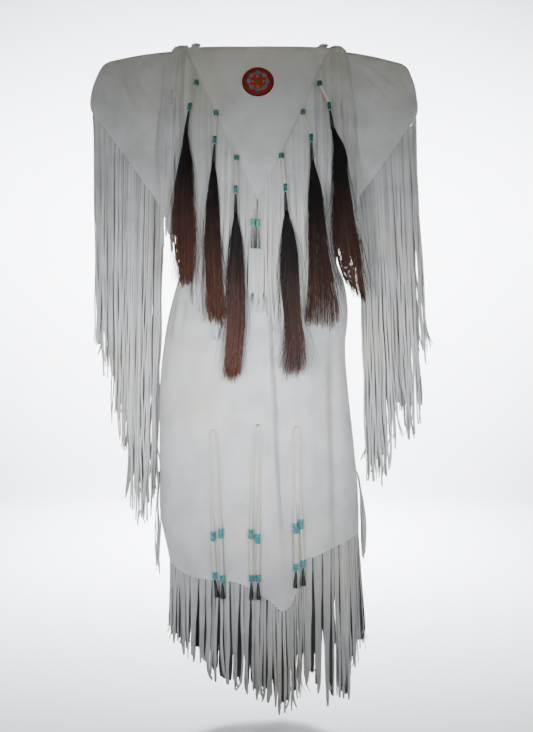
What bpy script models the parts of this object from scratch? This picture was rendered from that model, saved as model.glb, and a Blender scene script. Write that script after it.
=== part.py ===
"""Fringed buckskin wedding dress, standing open as if it were worn.

A Blender 4.5 script in metres, +Z up. The front faces -Y, and the origin is in the middle of the
neck opening, level with the shoulders. Every hide piece is a closed wall of its own, parted from
the next by a narrow seam. The body is read from a table of sections, the sleeves run from the
armholes to a table of cuff points, and all that hangs in front follows the body like a taut string.
"""
import math

import bpy
import numpy as np
from mathutils import Vector
from mathutils.bvhtree import BVHTree

# Hide walls and the narrow gaps between them, in metres
WALL = 0.002
SEAM_GAP = 0.0003
OVERLAY_LIFT = 0.0014
OVERLAY_WALL = 0.0016
SEAT_GAP = 0.0005

# The body: distance below the shoulder, how far its middle is off to one side, half width, how far
# the front and the back stand out at their middle and at their side edges, and how far round the
# section turns, in degrees
SECTION_COLUMNS = ("drop", "shift", "half_width", "front_mid", "front_edge", "back_mid",
                   "back_edge", "turn")
SECTIONS = (
    (0.000, 0.0000, 0.1650, 0.052, 0.000, 0.045, 0.000, 42),
    (0.012, 0.0000, 0.1660, 0.068, 0.028, 0.062, 0.028, 44),
    (0.035, 0.0000, 0.1680, 0.080, 0.046, 0.078, 0.046, 46),
    (0.075, 0.0000, 0.1710, 0.090, 0.060, 0.092, 0.058, 48),
    (0.125, 0.0000, 0.1750, 0.100, 0.068, 0.100, 0.064, 52),
    (0.180, 0.0000, 0.1800, 0.113, 0.066, 0.103, 0.062, 58),
    (0.235, 0.0000, 0.1850, 0.122, 0.054, 0.102, 0.050, 66),
    (0.285, 0.0000, 0.1890, 0.125, 0.034, 0.100, 0.030, 76),
    (0.3255, 0.0000, 0.1910, 0.122, 0.006, 0.097, 0.006, 86),
    (0.370, 0.0030, 0.1720, 0.112, 0.000, 0.093, 0.000, 90),
    (0.430, 0.0060, 0.1555, 0.100, 0.000, 0.092, 0.000, 90),
    (0.490, 0.0060, 0.1750, 0.105, 0.000, 0.104, 0.000, 90),
    (0.550, 0.0018, 0.1868, 0.113, 0.000, 0.118, 0.000, 90),
    (0.620, -0.0070, 0.1900, 0.120, 0.000, 0.128, 0.000, 90),
    (0.700, -0.0085, 0.1960, 0.126, 0.000, 0.132, 0.000, 90),
    (0.800, -0.0040, 0.2020, 0.131, 0.000, 0.136, 0.000, 90),
    (0.900, 0.0010, 0.2065, 0.135, 0.000, 0.140, 0.000, 90),
    (0.980, 0.0040, 0.2070, 0.138, 0.000, 0.143, 0.000, 90),
    (1.030, 0.0090, 0.2015, 0.140, 0.000, 0.145, 0.000, 90),
    (1.080, 0.0132, 0.1968, 0.141, 0.000, 0.147, 0.000, 90),
    (1.150, 0.0132, 0.1968, 0.142, 0.000, 0.148, 0.000, 90),
)
NECK_HALF_WIDTH = 0.125
SHOULDER_ZONE = 0.125       # the neck's dip has faded out this far down
NECK_RISE = 0.002
FRONT_NECK_DIP = 0.015
SHOULDER_SLOPE = 0.10

# The rows of points down each panel: those along the armhole, then those along the side seam
ARMHOLE_DROPS = (0.0, 0.012, 0.035, 0.065, 0.100, 0.140, 0.185, 0.235, 0.285, 0.3255)
SIDE_DROPS = (0.370, 0.410, 0.450, 0.490, 0.540, 0.600, 0.660, 0.720, 0.780, 0.840, 0.900, 0.960,
              1.010, 1.050)
# Where the columns of points stand, from the middle out, as parts of the half section
HALF_COLUMNS = (0.13, 0.26, 0.39, 0.51, 0.62, 0.7286, 0.82, 0.91, 1.0)

# The cut lower edge of each panel, from side to side: place across and height
HEM_COLUMNS = ("across", "height")
FRONT_HEM = (
    (-1.00, -1.067), (-0.76, -1.082), (-0.50, -1.085), (-0.29, -1.086), (0.04, -1.119),
    (0.22, -1.138), (0.31, -1.113), (0.40, -1.047), (0.50, -1.040), (0.80, -1.020), (1.00, -1.007),
)
BACK_HEM = (
    (-1.00, -1.067), (-0.60, -1.088), (-0.10, -1.112), (0.25, -1.098), (0.65, -1.050),
    (1.00, -1.007),
)
HEM_DROP = 1.05
HEM_START = 0.40

# Soft folds of the skirt: top and bottom of each line, how wide it is and how far it stands out
FOLD_COLUMNS = ("top_x", "top_z", "low_x", "low_z", "half_width", "lift")
FRONT_FOLDS = (
    (0.014, -0.46, 0.050, -1.14, 0.017, 0.0050),
    (0.040, -0.46, 0.082, -1.14, 0.016, -0.0060),
    (0.150, -0.56, 0.168, -1.08, 0.018, 0.0035),
    (-0.110, -0.60, -0.128, -1.14, 0.026, 0.0030),
    (-0.060, -0.66, -0.066, -1.14, 0.020, -0.0030),
)
BACK_FOLDS = (
    (-0.090, -0.52, -0.120, -1.14, 0.026, 0.0050),
    (-0.030, -0.50, -0.040, -1.14, 0.022, -0.0050),
    (0.050, -0.52, 0.062, -1.14, 0.026, 0.0050),
    (0.115, -0.58, 0.135, -1.14, 0.020, -0.0035),
)

# The open lower and outer edge of each sleeve, from the shoulder ridge to the underarm: how far
# along, its place and height on either side of the dress, and how far it stands out front and back
CUFF_COLUMNS = ("along", "left_x", "left_z", "right_x", "right_z", "depth")
CUFF = (
    (0.00, 0.310, -0.0235, 0.302, -0.0285, 0.000),
    (0.08, 0.321, -0.038, 0.311, -0.044, 0.019),
    (0.18, 0.333, -0.068, 0.320, -0.074, 0.034),
    (0.30, 0.342, -0.104, 0.326, -0.108, 0.043),
    (0.42, 0.341, -0.141, 0.327, -0.147, 0.047),
    (0.55, 0.313, -0.178, 0.301, -0.188, 0.049),
    (0.70, 0.272, -0.234, 0.266, -0.238, 0.045),
    (0.85, 0.232, -0.290, 0.230, -0.286, 0.030),
    (1.00, 0.197, -0.337, 0.197, -0.330, 0.010),
)
RIDGE_RISE = 0.0035         # how much the top of each sleeve swells above a straight line
SLEEVE_COLUMNS = 5

# The V-shaped yoke: half width at each distance below the shoulder
YOKE_COLUMNS = ("drop", "half_width")
YOKE = (
    (0.000, 0.150), (0.020, 0.146), (0.090, 0.114), (0.160, 0.086), (0.254, 0.0435),
    (0.3154, 0.012), (0.334, 0.003),
)
YOKE_DROPS = (0.0, 0.012, 0.035, 0.065, 0.100, 0.140, 0.185, 0.235, 0.285, 0.334)
YOKE_PANEL_COLUMNS = 7      # panel columns from the middle out that the yoke keeps to
YOKE_LAST_SHARE = 0.97      # the last of them, at most, as a part of the yoke's half width

# Each fringe: strand count, height of its uncut strip, strand thickness, and how much of its share
# of the strip a strand takes
STRIP_HEIGHT = 0.008
STRAND_THICKNESS = 0.0016
FIRST_STEP = 0.012           # from a root down to the first ring of a strand on the body
STRAND_FILL = 0.80
TIP_FILL = 0.55

HEM_STRANDS = {"front": 34, "back": 23}
HEM_FLARE = 0.012           # how far the fringe at one side seam leans out
HEM_TIP_COLUMNS = ("across", "height")
FRONT_HEM_TIPS = (
    (-1.00, -1.205), (-0.85, -1.235), (-0.65, -1.245), (-0.48, -1.279), (-0.25, -1.293),
    (0.00, -1.314), (0.25, -1.333), (0.36, -1.310), (0.45, -1.288), (0.60, -1.313), (0.72, -1.335),
    (0.82, -1.325), (0.90, -1.262), (1.00, -1.235),
)
BACK_HEM_TIPS = ((-1.00, -1.205), (-0.50, -1.300), (0.00, -1.325), (0.55, -1.310), (1.00, -1.235))

SLEEVE_STRANDS = {"front": 20, "back": 14}
SLEEVE_TIP_SPAN = {"left": (0.330, 0.2145), "right": (0.348, 0.2295)}
# How the strands swing out to their tips, outermost and innermost: below 1 high up, above 1 low down
SLEEVE_SWING = {"left": (0.5, 1.0), "right": (1.5, 0.5)}
SLEEVE_TIP_COLUMNS = ("along", "left", "right")
SLEEVE_TIPS = (
    (0.00, -0.600, -0.620), (0.12, -0.640, -0.690), (0.20, -0.668, -0.800), (0.28, -0.700, -0.806),
    (0.36, -0.795, -0.780), (0.50, -0.825, -0.742), (0.56, -0.865, -0.822), (0.63, -0.945, -0.866),
    (0.82, -0.984, -0.900), (1.00, -0.890, -0.890),
)
SLEEVE_HIP_CLEARANCE = 0.006
BACK_TIP_RISE = 0.030
CUFF_CORNER = 4             # cuff points before this one lie on its upright outer edge

YOKE_STRANDS = 16
BUST_DROP = 0.26
YOKE_TIP_COLUMNS = ("along", "height")
YOKE_TIPS = ((0.0, -0.470), (0.3, -0.545), (0.6, -0.585), (0.85, -0.560), (1.0, -0.520))
SHOULDER_STRANDS = 6
SHOULDER_SPAN = (0.1545, 0.196)
SHOULDER_ROOT_HEIGHT = -0.012
SHOULDER_ROOT_SLOPE = 0.05
SHOULDER_ROOT_LIFT = 0.0013
SHOULDER_TIPS = {"left": -0.385, "right": -0.410}

# The thongs tied at each side seam: count, root height, half width front to back, tip height
SIDE_STRANDS = 6
SIDE_LIFT = 0.0008
SIDE_ROOT_HEIGHT = -0.885
SIDE_HALF_SPAN = 0.018
SIDE_TIPS = {"left": -1.078, "right": -1.038}
SIDE_LEAN = {"left": 0.004, "right": 0.011}     # how far their lower ends stand away

# The chest drops: where the lace leaves the yoke, its upper bead, its two lower beads, the cone's
# lower end, the two sides and the tip height of the horsehair, and how far its left side ends higher
DROP_COLUMNS = ("top_x", "top_z", "high_x", "high_z", "low_x", "low_z", "cone_x", "cone_z",
                "hair_left", "hair_right", "hair_z", "hair_slant")
CHEST_DROPS = {
    "left_outer": (-0.119, -0.086, -0.1215, -0.0978, -0.1353, -0.1452, -0.1413, -0.1927,
                   -0.157, -0.1235, -0.5014, 0.000),
    "left_middle": (-0.084, -0.151, -0.0819, -0.1630, -0.0839, -0.2213, -0.0859, -0.2659,
                    -0.1076, -0.0641, -0.5766, 0.000),
    "left_inner": (-0.044, -0.244, -0.0404, -0.2561, -0.0423, -0.3154, -0.0423, -0.3649,
                   -0.0720, -0.0305, -0.6854, 0.000),
    "right_inner": (0.045, -0.240, 0.0467, -0.2521, 0.0546, -0.3075, 0.0566, -0.3609,
                    0.0388, 0.0961, -0.6814, 0.000),
    "right_middle": (0.087, -0.149, 0.0902, -0.1611, 0.1060, -0.2086, 0.1080, -0.2600,
                     0.0902, 0.1535, -0.5825, 0.000),
    "right_outer": (0.120, -0.087, 0.1238, -0.0998, 0.1436, -0.1453, 0.1496, -0.1908,
                    0.1640, 0.2120, -0.5300, 0.085),
}
DROP_LIFT = 0.0062
CHEST_CONE_LENGTH = 0.038
CHEST_CONE_RADII = (0.0021, 0.0042)
CHEST_TOP_BEAD_LENGTH = 0.0095
CHEST_BEAD_LENGTH = 0.0075
BEAD_CONE_GAP = 0.0012
CONE_REACH = 0.006          # how far the lace runs down inside the cone
HAIR_LOCKS = 5
HAIR_LIFT = 0.0048
HAIR_ROOT_GAP = 0.0012
HAIR_ROOT_LENGTH = 0.004
HAIR_ROOT_DEPTH = 0.0030
HAIR_SPREAD = 0.72
HAIR_FILL = 0.88
HAIR_TIP_CURVE = 0.06
HAIR_FIRST_STEP = 0.006      # from the plug's end down to the first ring of a strand
HAIR_LEVELS = (0.0, 0.20, 0.45, 0.72)
HAIR_DEPTHS = (0.0034, 0.0052, 0.0062, 0.0060, 0.0026)
CENTRE_DROP_TOP = -0.345

# The two drops below the point of the yoke: place across, heights of the beads and cone
CENTRE_DROP_COLUMNS = ("x", "bead_z", "cone_top", "cone_low")
CENTRE_DROPS = {
    "left": (-0.0100, -0.3840, -0.3925, -0.4345),
    "right": (0.0042, -0.3840, -0.3925, -0.4345),
}

# The skirt laces: each runs down from a bridge in two legs, with two stacks of beads and a cone on
# each leg, given as place across and height
LACE_COLUMNS = ("bridge_x", "bridge_z", "high_x", "high_z", "low_x", "low_z", "cone_x", "cone_z")
SKIRT_LACES = {
    "left": ((-0.0925, -0.7880, -0.0866, -0.9961, -0.0835, -1.0734, -0.0785, -1.1154),
             (-0.0800, -0.7880, -0.0712, -0.9900, -0.0680, -1.0783, -0.0672, -1.1174)),
    "middle": ((-0.0050, -0.7770, -0.0123, -0.9893, -0.0112, -1.0744, -0.0112, -1.1154),
               (0.0070, -0.7770, 0.0014, -0.9980, 0.0016, -1.0744, 0.0026, -1.1154)),
    "right": ((0.0700, -0.7820, 0.0742, -0.9795, 0.0757, -1.0548, 0.0740, -1.0949),
              (0.0845, -0.7820, 0.0858, -0.9726, 0.0895, -1.0489, 0.0903, -1.0920)),
}
LACE_LIFT = 0.0019
SKIRT_BEAD_LIFT = 0.0078
SKIRT_CONE_LENGTH = 0.034
SKIRT_CONE_RADII = (0.0026, 0.0056)

# Beads and laces: radii and lengths
BEAD_RADIUS = 0.0049
CHEST_BEAD_RADIUS = 0.0042
CHEST_TOP_BEAD_RADIUS = 0.0050
LACE_RADIUS = 0.0011
CONE_WALL = 0.0006
CONE_SIDES = 10
TUBE_SIDES = 6

# The beaded rosette: its middle, radius and thickness, and its lift over the hide
ROSETTE_X = 0.001
ROSETTE_Z = -0.0985
ROSETTE_RADIUS = 0.0315
ROSETTE_THICKNESS = 0.0028
ROSETTE_LIFT = 0.0034
ROSETTE_TILT = 0.975

# The gathered thongs on each shoulder and the small knots beside the neck: middle and radii
TIE_COLUMNS = ("x", "y", "z", "radius_x", "radius_y", "radius_z")
SHOULDER_TIES = {
    "left": (-0.1620, -0.0080, 0.0072, 0.0095, 0.0075, 0.0052),
    "right": (0.1680, -0.0080, 0.0070, 0.0110, 0.0075, 0.0056),
}
NECK_KNOTS = {
    "left": (-0.1270, -0.0020, 0.0103, 0.0062, 0.0045, 0.0042),
    "right": (0.1350, -0.0020, 0.0098, 0.0062, 0.0045, 0.0040),
}

SIDES = {"left": -1, "right": 1}


def named(columns, row):
    """One table row as a dictionary by column name."""
    return dict(zip(columns, row))


def column(table, columns, name):
    """One named column of a table as an array."""
    return np.array([row[columns.index(name)] for row in table], dtype=float)


def smooth(at, table, columns, name):
    """Read a column at places in the table's first column, by a smooth curve through its rows."""
    knots = column(table, columns, columns[0])
    values = column(table, columns, name)
    slopes = np.gradient(values, knots)
    at = np.clip(at, knots[0], knots[-1])
    cell = np.clip(np.searchsorted(knots, at) - 1, 0, len(knots) - 2)
    span = knots[cell + 1] - knots[cell]
    t = (at - knots[cell]) / span
    rise = (2 * t**3 - 3 * t**2 + 1) * values[cell] + (3 * t**2 - 2 * t**3) * values[cell + 1]
    bend = (t**3 - 2 * t**2 + t) * slopes[cell] + (t**3 - t**2) * slopes[cell + 1]
    return rise + bend * span


def unit(vectors):
    """Vectors at length one."""
    return vectors / np.linalg.norm(vectors, axis=-1, keepdims=True)


def step(x):
    """0 below 0, 1 above 1, and a smooth rise between."""
    x = np.clip(x, 0.0, 1.0)
    return x * x * (3 - 2 * x)


# The body's surface

def half_width(drop):
    return smooth(drop, SECTIONS, SECTION_COLUMNS, "half_width")


def middle_shift(drop):
    return smooth(drop, SECTIONS, SECTION_COLUMNS, "shift")


def turn(drop):
    return np.radians(np.minimum(smooth(drop, SECTIONS, SECTION_COLUMNS, "turn"), 90.0))


def neck_depth(face, x):
    """How far the neck's edge stands out at x: half an ellipse, and nothing beyond its ends."""
    mid = smooth(0.0, SECTIONS, SECTION_COLUMNS, face + "_mid")
    return mid * np.sqrt(np.maximum(0.0, 1 - (x / NECK_HALF_WIDTH) ** 2))


def top_height(face, x):
    """Height of the panel's top edge: it dips at the front of the neck and slopes off outward."""
    mid = smooth(0.0, SECTIONS, SECTION_COLUMNS, face + "_mid")
    dip = FRONT_NECK_DIP * neck_depth(face, x) / mid if face == "front" else 0.0
    return NECK_RISE - dip - SHOULDER_SLOPE * np.maximum(0.0, np.abs(x) - NECK_HALF_WIDTH)


def height(face, x, drop):
    """Height of the point at x in the row at this drop: the rows follow the neck and the hem."""
    top = top_height(face, x) * np.maximum(0.0, 1 - drop / SHOULDER_ZONE)
    hem = FRONT_HEM if face == "front" else BACK_HEM
    across = (x - middle_shift(HEM_DROP)) / half_width(HEM_DROP)
    fall = smooth(across, hem, HEM_COLUMNS, "height") + HEM_DROP
    share = np.maximum(0.0, (drop - HEM_START) / (HEM_DROP - HEM_START)) ** 1.5
    return top - drop + fall * share


def drop_at(face, x, z):
    """Distance below the shoulder that a height stands for, with the neck's dip taken out."""
    top = top_height(face, x)
    near = (top - z) / (1 + top / SHOULDER_ZONE)
    return np.where(z > -SHOULDER_ZONE, np.maximum(near, 0.0), -z)


def fold_lift(face, x, z):
    """Sum of the soft folds at a point: each is a bell across its line, fading in from its top."""
    folds = FRONT_FOLDS if face == "front" else BACK_FOLDS
    lift = 0.0
    for row in folds:
        fold = named(FOLD_COLUMNS, row)
        along = (fold["top_z"] - z) / (fold["top_z"] - fold["low_z"])
        line = fold["top_x"] + (fold["low_x"] - fold["top_x"]) * along
        bell = np.exp(-((x - line) / fold["half_width"]) ** 2)
        lift = lift + fold["lift"] * bell * step(along * 2.0)
    near_side = 1 - np.clip(np.abs(x - middle_shift(-z)) / half_width(-z), 0.0, 1.0) ** 8
    return lift * near_side


def depth(face, x, z):
    """How far the outside of the front or back stands out at x and z."""
    drop = drop_at(face, x, z)
    bend = turn(drop)
    mid = smooth(drop, SECTIONS, SECTION_COLUMNS, face + "_mid")
    edge = np.maximum(smooth(drop, SECTIONS, SECTION_COLUMNS, face + "_edge"), 0.0)
    across = np.clip(np.abs(x - middle_shift(drop)) / half_width(drop), 0.0, 1.0)
    angle = np.arcsin(across * np.sin(bend))
    out = edge + (mid - edge) * (np.cos(angle) - np.cos(bend)) / (1 - np.cos(bend))
    neck_share = np.clip(1 - drop / ARMHOLE_DROPS[1], 0.0, 1.0)
    out = out * (1 - neck_share) + neck_depth(face, x) * neck_share
    return out + fold_lift(face, x, z)


def surface(face, x, z):
    """Points on the outside of the front or back."""
    sign = -1.0 if face == "front" else 1.0
    return np.stack([x + 0 * z, sign * depth(face, x, z), z + 0 * x], axis=-1)


def panel_grid(face):
    """Rows of points down the panel, each row from the left edge to the right."""
    half = np.array(HALF_COLUMNS)
    across = np.concatenate([-half[::-1], [0.0], half])
    rows = []
    for drop in ARMHOLE_DROPS + SIDE_DROPS:
        spread = np.sin(across * turn(drop)) / np.sin(turn(drop))
        x = middle_shift(drop) + half_width(drop) * spread
        z = height(face, x, drop)
        if drop > HEM_START:
            x = middle_shift(-z) + half_width(-z) * spread
        rows.append(surface(face, x, z))
    return np.array(rows)


def grid_normals(grid):
    """Unit normals of a grid of points, from the directions of its rows and columns."""
    down = np.gradient(grid, axis=0)
    across = np.gradient(grid, axis=1)
    return unit(np.cross(down, across))


# Closed solids

def solid(name, points, faces):
    """Make one closed object from points and faces, all turned to face out."""
    points = np.asarray(points, dtype=float)
    volume = 0.0
    for face in faces:
        for k in range(1, len(face) - 1):
            a, b, c = points[face[0]], points[face[k]], points[face[k + 1]]
            volume += np.dot(a, np.cross(b, c))
    if volume < 0:
        faces = [tuple(reversed(face)) for face in faces]
    mesh = bpy.data.meshes.new(name)
    mesh.from_pydata([tuple(point) for point in points], [], faces)
    mesh.update()
    made = bpy.data.objects.new(name, mesh)
    bpy.context.scene.collection.objects.link(made)
    return made


def shell(name, outer, normals, wall=WALL):
    """Close a wall round a grid: the grid outside, its copy moved in, and a rim along all edges."""
    rows, columns = outer.shape[:2]
    inner = outer - normals * wall
    points = np.concatenate([outer.reshape(-1, 3), inner.reshape(-1, 3)])
    behind = rows * columns

    def at(row, col):
        return row * columns + col

    faces = []
    for row in range(rows - 1):
        for col in range(columns - 1):
            a, b = at(row, col), at(row + 1, col)
            c, d = at(row + 1, col + 1), at(row, col + 1)
            faces += [(a, b, c), (a, c, d)]
            faces += [(a + behind, c + behind, b + behind), (a + behind, d + behind, c + behind)]
    border = [at(0, col) for col in range(columns)]
    border += [at(row, columns - 1) for row in range(1, rows)]
    border += [at(rows - 1, col) for col in range(columns - 2, -1, -1)]
    border += [at(row, 0) for row in range(rows - 2, 0, -1)]
    for a, b in zip(border, border[1:] + border[:1]):
        faces += [(a, b, b + behind), (a, b + behind, a + behind)]
    return solid(name, points, faces)


def comb(name, top, low, normals, strands, wall):
    """A strip between two rows of points, cut below into strands that share its lower edge."""
    count = len(top) - 1
    behind = normals * wall
    points = [*top, *low, *(top - behind), *(low - behind)]
    stride = count + 1
    faces = []
    for k in range(count):
        top_a, top_b = k, k + 1
        low_a, low_b = stride + k, stride + k + 1
        back_top_a, back_top_b = 2 * stride + k, 2 * stride + k + 1
        back_low_a, back_low_b = 3 * stride + k, 3 * stride + k + 1
        faces += [(top_a, low_a, low_b), (top_a, low_b, top_b)]
        faces += [(back_top_a, back_low_b, back_low_a), (back_top_a, back_top_b, back_low_b)]
        faces += [(top_a, top_b, back_top_b), (top_a, back_top_b, back_top_a)]
        ring = (low_a, low_b, back_low_b, back_low_a)
        for corners in strands[k]:
            start = len(points)
            points += list(corners)
            following = tuple(range(start, start + 4))
            for side in range(4):
                a, b = ring[side], ring[(side + 1) % 4]
                c, d = following[(side + 1) % 4], following[side]
                faces += [(a, d, c), (a, c, b)]
            ring = following
        faces += [(ring[0], ring[2], ring[1]), (ring[0], ring[3], ring[2])]
    last = count
    faces += [(0, 2 * stride, 3 * stride), (0, 3 * stride, stride)]
    faces += [(last, stride + last, 3 * stride + last), (last, 3 * stride + last, 2 * stride + last)]
    return solid(name, points, faces)


def strand_rings(centres, half_widths, across, outward, thickness=STRAND_THICKNESS):
    """Four corners round each point of a strand's middle line."""
    rings = []
    for centre, half in zip(centres, half_widths):
        side = across * half
        face = outward * thickness / 2
        rings.append([centre - side + face, centre + side + face,
                      centre + side - face, centre - side - face])
    return rings


def tube(name, path, radii, flats=None, sides=TUBE_SIDES):
    """A closed tube along a path with a radius at each point; flats squash it front to back."""
    path = np.asarray(path, dtype=float)
    flats = np.ones(len(path)) if flats is None else np.asarray(flats)
    along = unit(np.gradient(path, axis=0))
    points = []
    turns = np.arange(sides) * 2 * math.pi / sides
    for place, direction, radius, flat in zip(path, along, radii, flats):
        side = unit(np.cross(direction, (0.0, -1.0, 0.0)))
        front = np.cross(direction, side)
        for angle in turns:
            points.append(place + radius * (side * math.cos(angle) + front * flat * math.sin(angle)))
    faces = []
    for ring in range(len(path) - 1):
        for k in range(sides):
            a, b = ring * sides + k, ring * sides + (k + 1) % sides
            c, d = b + sides, a + sides
            faces += [(a, b, c), (a, c, d)]
    faces.append(tuple(range(sides - 1, -1, -1)))
    faces.append(tuple(range((len(path) - 1) * sides, len(path) * sides)))
    return solid(name, points, faces)


def cone(name, top, low, radii):
    """A hollow cone, open at both ends."""
    top, low = np.asarray(top, dtype=float), np.asarray(low, dtype=float)
    down = unit(low - top)
    side = unit(np.cross(down, (0.0, 1.0, 0.0)))
    front = np.cross(down, side)
    rings = ((top, radii[0]), (low, radii[1]), (low, radii[1] - CONE_WALL),
             (top, radii[0] - CONE_WALL))
    points = []
    for centre, radius in rings:
        for k in range(CONE_SIDES):
            angle = 2 * math.pi * k / CONE_SIDES
            points.append(centre + radius * (side * math.cos(angle) + front * math.sin(angle)))
    faces = []
    for ring in range(len(rings)):
        for k in range(CONE_SIDES):
            a = ring * CONE_SIDES + k
            b = ring * CONE_SIDES + (k + 1) % CONE_SIDES
            following = (ring + 1) % len(rings) * CONE_SIDES
            c, d = following + (k + 1) % CONE_SIDES, following + k
            faces += [(a, b, c), (a, c, d)]
    return solid(name, points, faces)


def seated(points, tree, way):
    """Points moved along a direction until the first of them lies a small gap off the pieces."""
    reaches = []
    for point in points:
        distance = tree.ray_cast(Vector(point), Vector(way))[3]
        if distance is not None:
            reaches.append(distance)
    return [point + np.asarray(way) * (min(reaches) - SEAT_GAP) for point in points]


def blob(name, middle, radii, tree, lobes=3, around=10, rings=5):
    """A small lumpy knot seated on the shoulder: an ellipsoid whose radius swells in lobes."""
    middle, radii = np.asarray(middle, dtype=float), np.asarray(radii, dtype=float)
    points = [middle + radii * (0, 0, 1)]
    for ring in range(1, rings):
        lift = math.pi * ring / rings
        for k in range(around):
            angle = 2 * math.pi * k / around
            swell = 1 - 0.10 * math.cos(lobes * angle)
            way = (math.sin(lift) * math.cos(angle) * swell, math.sin(lift) * math.sin(angle) * swell,
                   math.cos(lift))
            points.append(middle + radii * way)
    points.append(middle - radii * (0, 0, 1))
    points = seated(points, tree, (0.0, 0.0, -1.0))
    last = len(points) - 1
    faces = []
    for k in range(around):
        after = (k + 1) % around
        faces.append((0, 1 + k, 1 + after))
        faces.append((last, last - around + after, last - around + k))
        for ring in range(rings - 2):
            a, b = 1 + ring * around + k, 1 + ring * around + after
            faces += [(a, a + around, b + around), (a, b + around, b)]
    return solid(name, points, faces)


# Panels and sleeves

def seam_shift(edge, normals, toward):
    """Half a seam gap across an edge, toward the piece's own middle."""
    along = np.gradient(edge, axis=0)
    across = unit(np.cross(along, normals))
    way = np.sign(np.sum(across * toward, axis=-1, keepdims=True))
    return across * way * SEAM_GAP / 2


def ridge_normal(side):
    """The wall's direction along the top of the shoulder, shared by all pieces that meet there."""
    return unit(np.array((side * 0.13, 0.0, 1.0)))


def cuff_points(side_name, along):
    """The sleeve's open edge in front, from the shoulder ridge down to the underarm."""
    side = SIDES[side_name]
    x = smooth(along, CUFF, CUFF_COLUMNS, side_name + "_x")
    z = smooth(along, CUFF, CUFF_COLUMNS, side_name + "_z")
    out = smooth(along, CUFF, CUFF_COLUMNS, "depth")
    return np.stack([side * x, -np.maximum(out, 0.0), z], axis=-1)


def sleeve_grid(side_name, armhole_front, armhole_back):
    """Rows from the front underarm over the shoulder to the back, columns from armhole to cuff."""
    along = np.linspace(0.0, 1.0, len(ARMHOLE_DROPS))
    front = cuff_points(side_name, along)
    back = front * (1, -1, 1)
    armhole = np.concatenate([armhole_front[::-1], armhole_back[1:]])
    cuff = np.concatenate([front[::-1], back[1:]])
    share = np.linspace(0.0, 1.0, SLEEVE_COLUMNS + 1)[None, :, None]
    grid = armhole[:, None, :] * (1 - share) + cuff[:, None, :] * share
    near_ridge = np.exp(-(grid[..., 1] / 0.04) ** 2) * np.sin(np.pi * share[..., 0])
    grid[..., 2] += RIDGE_RISE * near_ridge * step(1 + grid[..., 2] / 0.12)
    return grid


def make_cloth():
    """Front and back panels and both sleeves, with shared wall directions at every seam."""
    arm = len(ARMHOLE_DROPS)
    grids = {face: panel_grid(face) for face in ("front", "back")}
    normals = {"front": grid_normals(grids["front"]), "back": -grid_normals(grids["back"])}
    shifted = {face: grids[face].copy() for face in grids}
    sleeves = {}
    for side_name, side in SIDES.items():
        edge = 0 if side < 0 else -1
        grid = sleeve_grid(side_name, grids["front"][:arm, edge], grids["back"][:arm, edge])
        way = grid_normals(grid)
        way = way if side < 0 else -way
        way = np.where(way[arm - 1, 2, 2] < 0, -way, way)
        moved = grid.copy()
        way[arm - 1, :] = ridge_normal(side)
        for face, rows in (("front", np.arange(arm - 1, -1, -1)), ("back", np.arange(arm - 1, 2 * arm - 1))):
            shared = unit(normals[face][:arm, edge] + way[rows, 0])
            shared[0] = ridge_normal(side)
            normals[face][:arm, edge] = shared
            way[rows, 0] = shared
            inward = np.array((-side, 0.0, 0.0))
            seam = grids[face][:arm, edge]
            shift = seam_shift(seam, shared, inward)
            shift[0] = inward * SEAM_GAP / 2
            shifted[face][:arm, edge] += shift
            moved[rows, 0] = grid[rows, 0] - shift
        sleeves[side_name] = (moved, way)
        for face in grids:
            below = grids[face][arm:, edge]
            slope = np.gradient(grids[face][arm - 1:, edge], axis=0)[1:]
            flat = np.stack([side * np.abs(slope[:, 2]), 0 * slope[:, 0],
                             side * slope[:, 0] * -np.sign(slope[:, 2])], axis=-1)
            flat[:, 2] = side * slope[:, 0] * np.where(slope[:, 2] < 0, 1.0, -1.0)
            normals[face][arm:, edge] = unit(flat)
            shifted[face][arm:, edge, 1] = 0 * below[:, 1]
    for face, sign in (("front", -1.0), ("back", 1.0)):
        shifted[face][..., 1] = sign * np.maximum(sign * shifted[face][..., 1], SEAM_GAP / 2)
        outer_seam = np.abs(grids[face][0, :, 0]) > NECK_HALF_WIDTH
        for col in np.nonzero(outer_seam)[0]:
            normals[face][0, col] = ridge_normal(np.sign(grids[face][0, col, 0]))
    panels = {face: (shifted[face], normals[face]) for face in grids}
    made = {
        "front": shell("front_panel", shifted["front"], normals["front"]),
        "back": shell("back_panel", shifted["back"], normals["back"]),
    }
    for side_name in SIDES:
        grid, way = sleeves[side_name]
        made[side_name] = shell("sleeve_" + side_name, grid, way)
    return made, panels, sleeves


def body_tree(pieces):
    """Search tree over the outside of the pieces that lie under the hanging ones."""
    points, faces = [], []
    for piece in pieces:
        start = len(points)
        points += [vertex.co.copy() for vertex in piece.data.vertices]
        faces += [tuple(start + k for k in face.vertices) for face in piece.data.polygons]
    return BVHTree.FromPolygons(points, faces)


def front_at(tree, x, z):
    """How far the pieces stand out in front at x and z, or far behind where there are none."""
    place = tree.ray_cast(Vector((x, -1.0, z)), Vector((0.0, 1.0, 0.0)))[0]
    return -place.y if place is not None else -1.0


def slope_at(x, z):
    """How fast the front falls away sideways at a point."""
    reach = 0.004
    return float(depth("front", x + reach, z) - depth("front", x - reach, z)) / (2 * reach)


def facing(slope):
    """Directions across and away from a surface that falls away sideways at this slope."""
    return unit(np.array((1.0, -slope, 0.0))), unit(np.array((-slope, -1.0, 0.0)))


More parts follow.
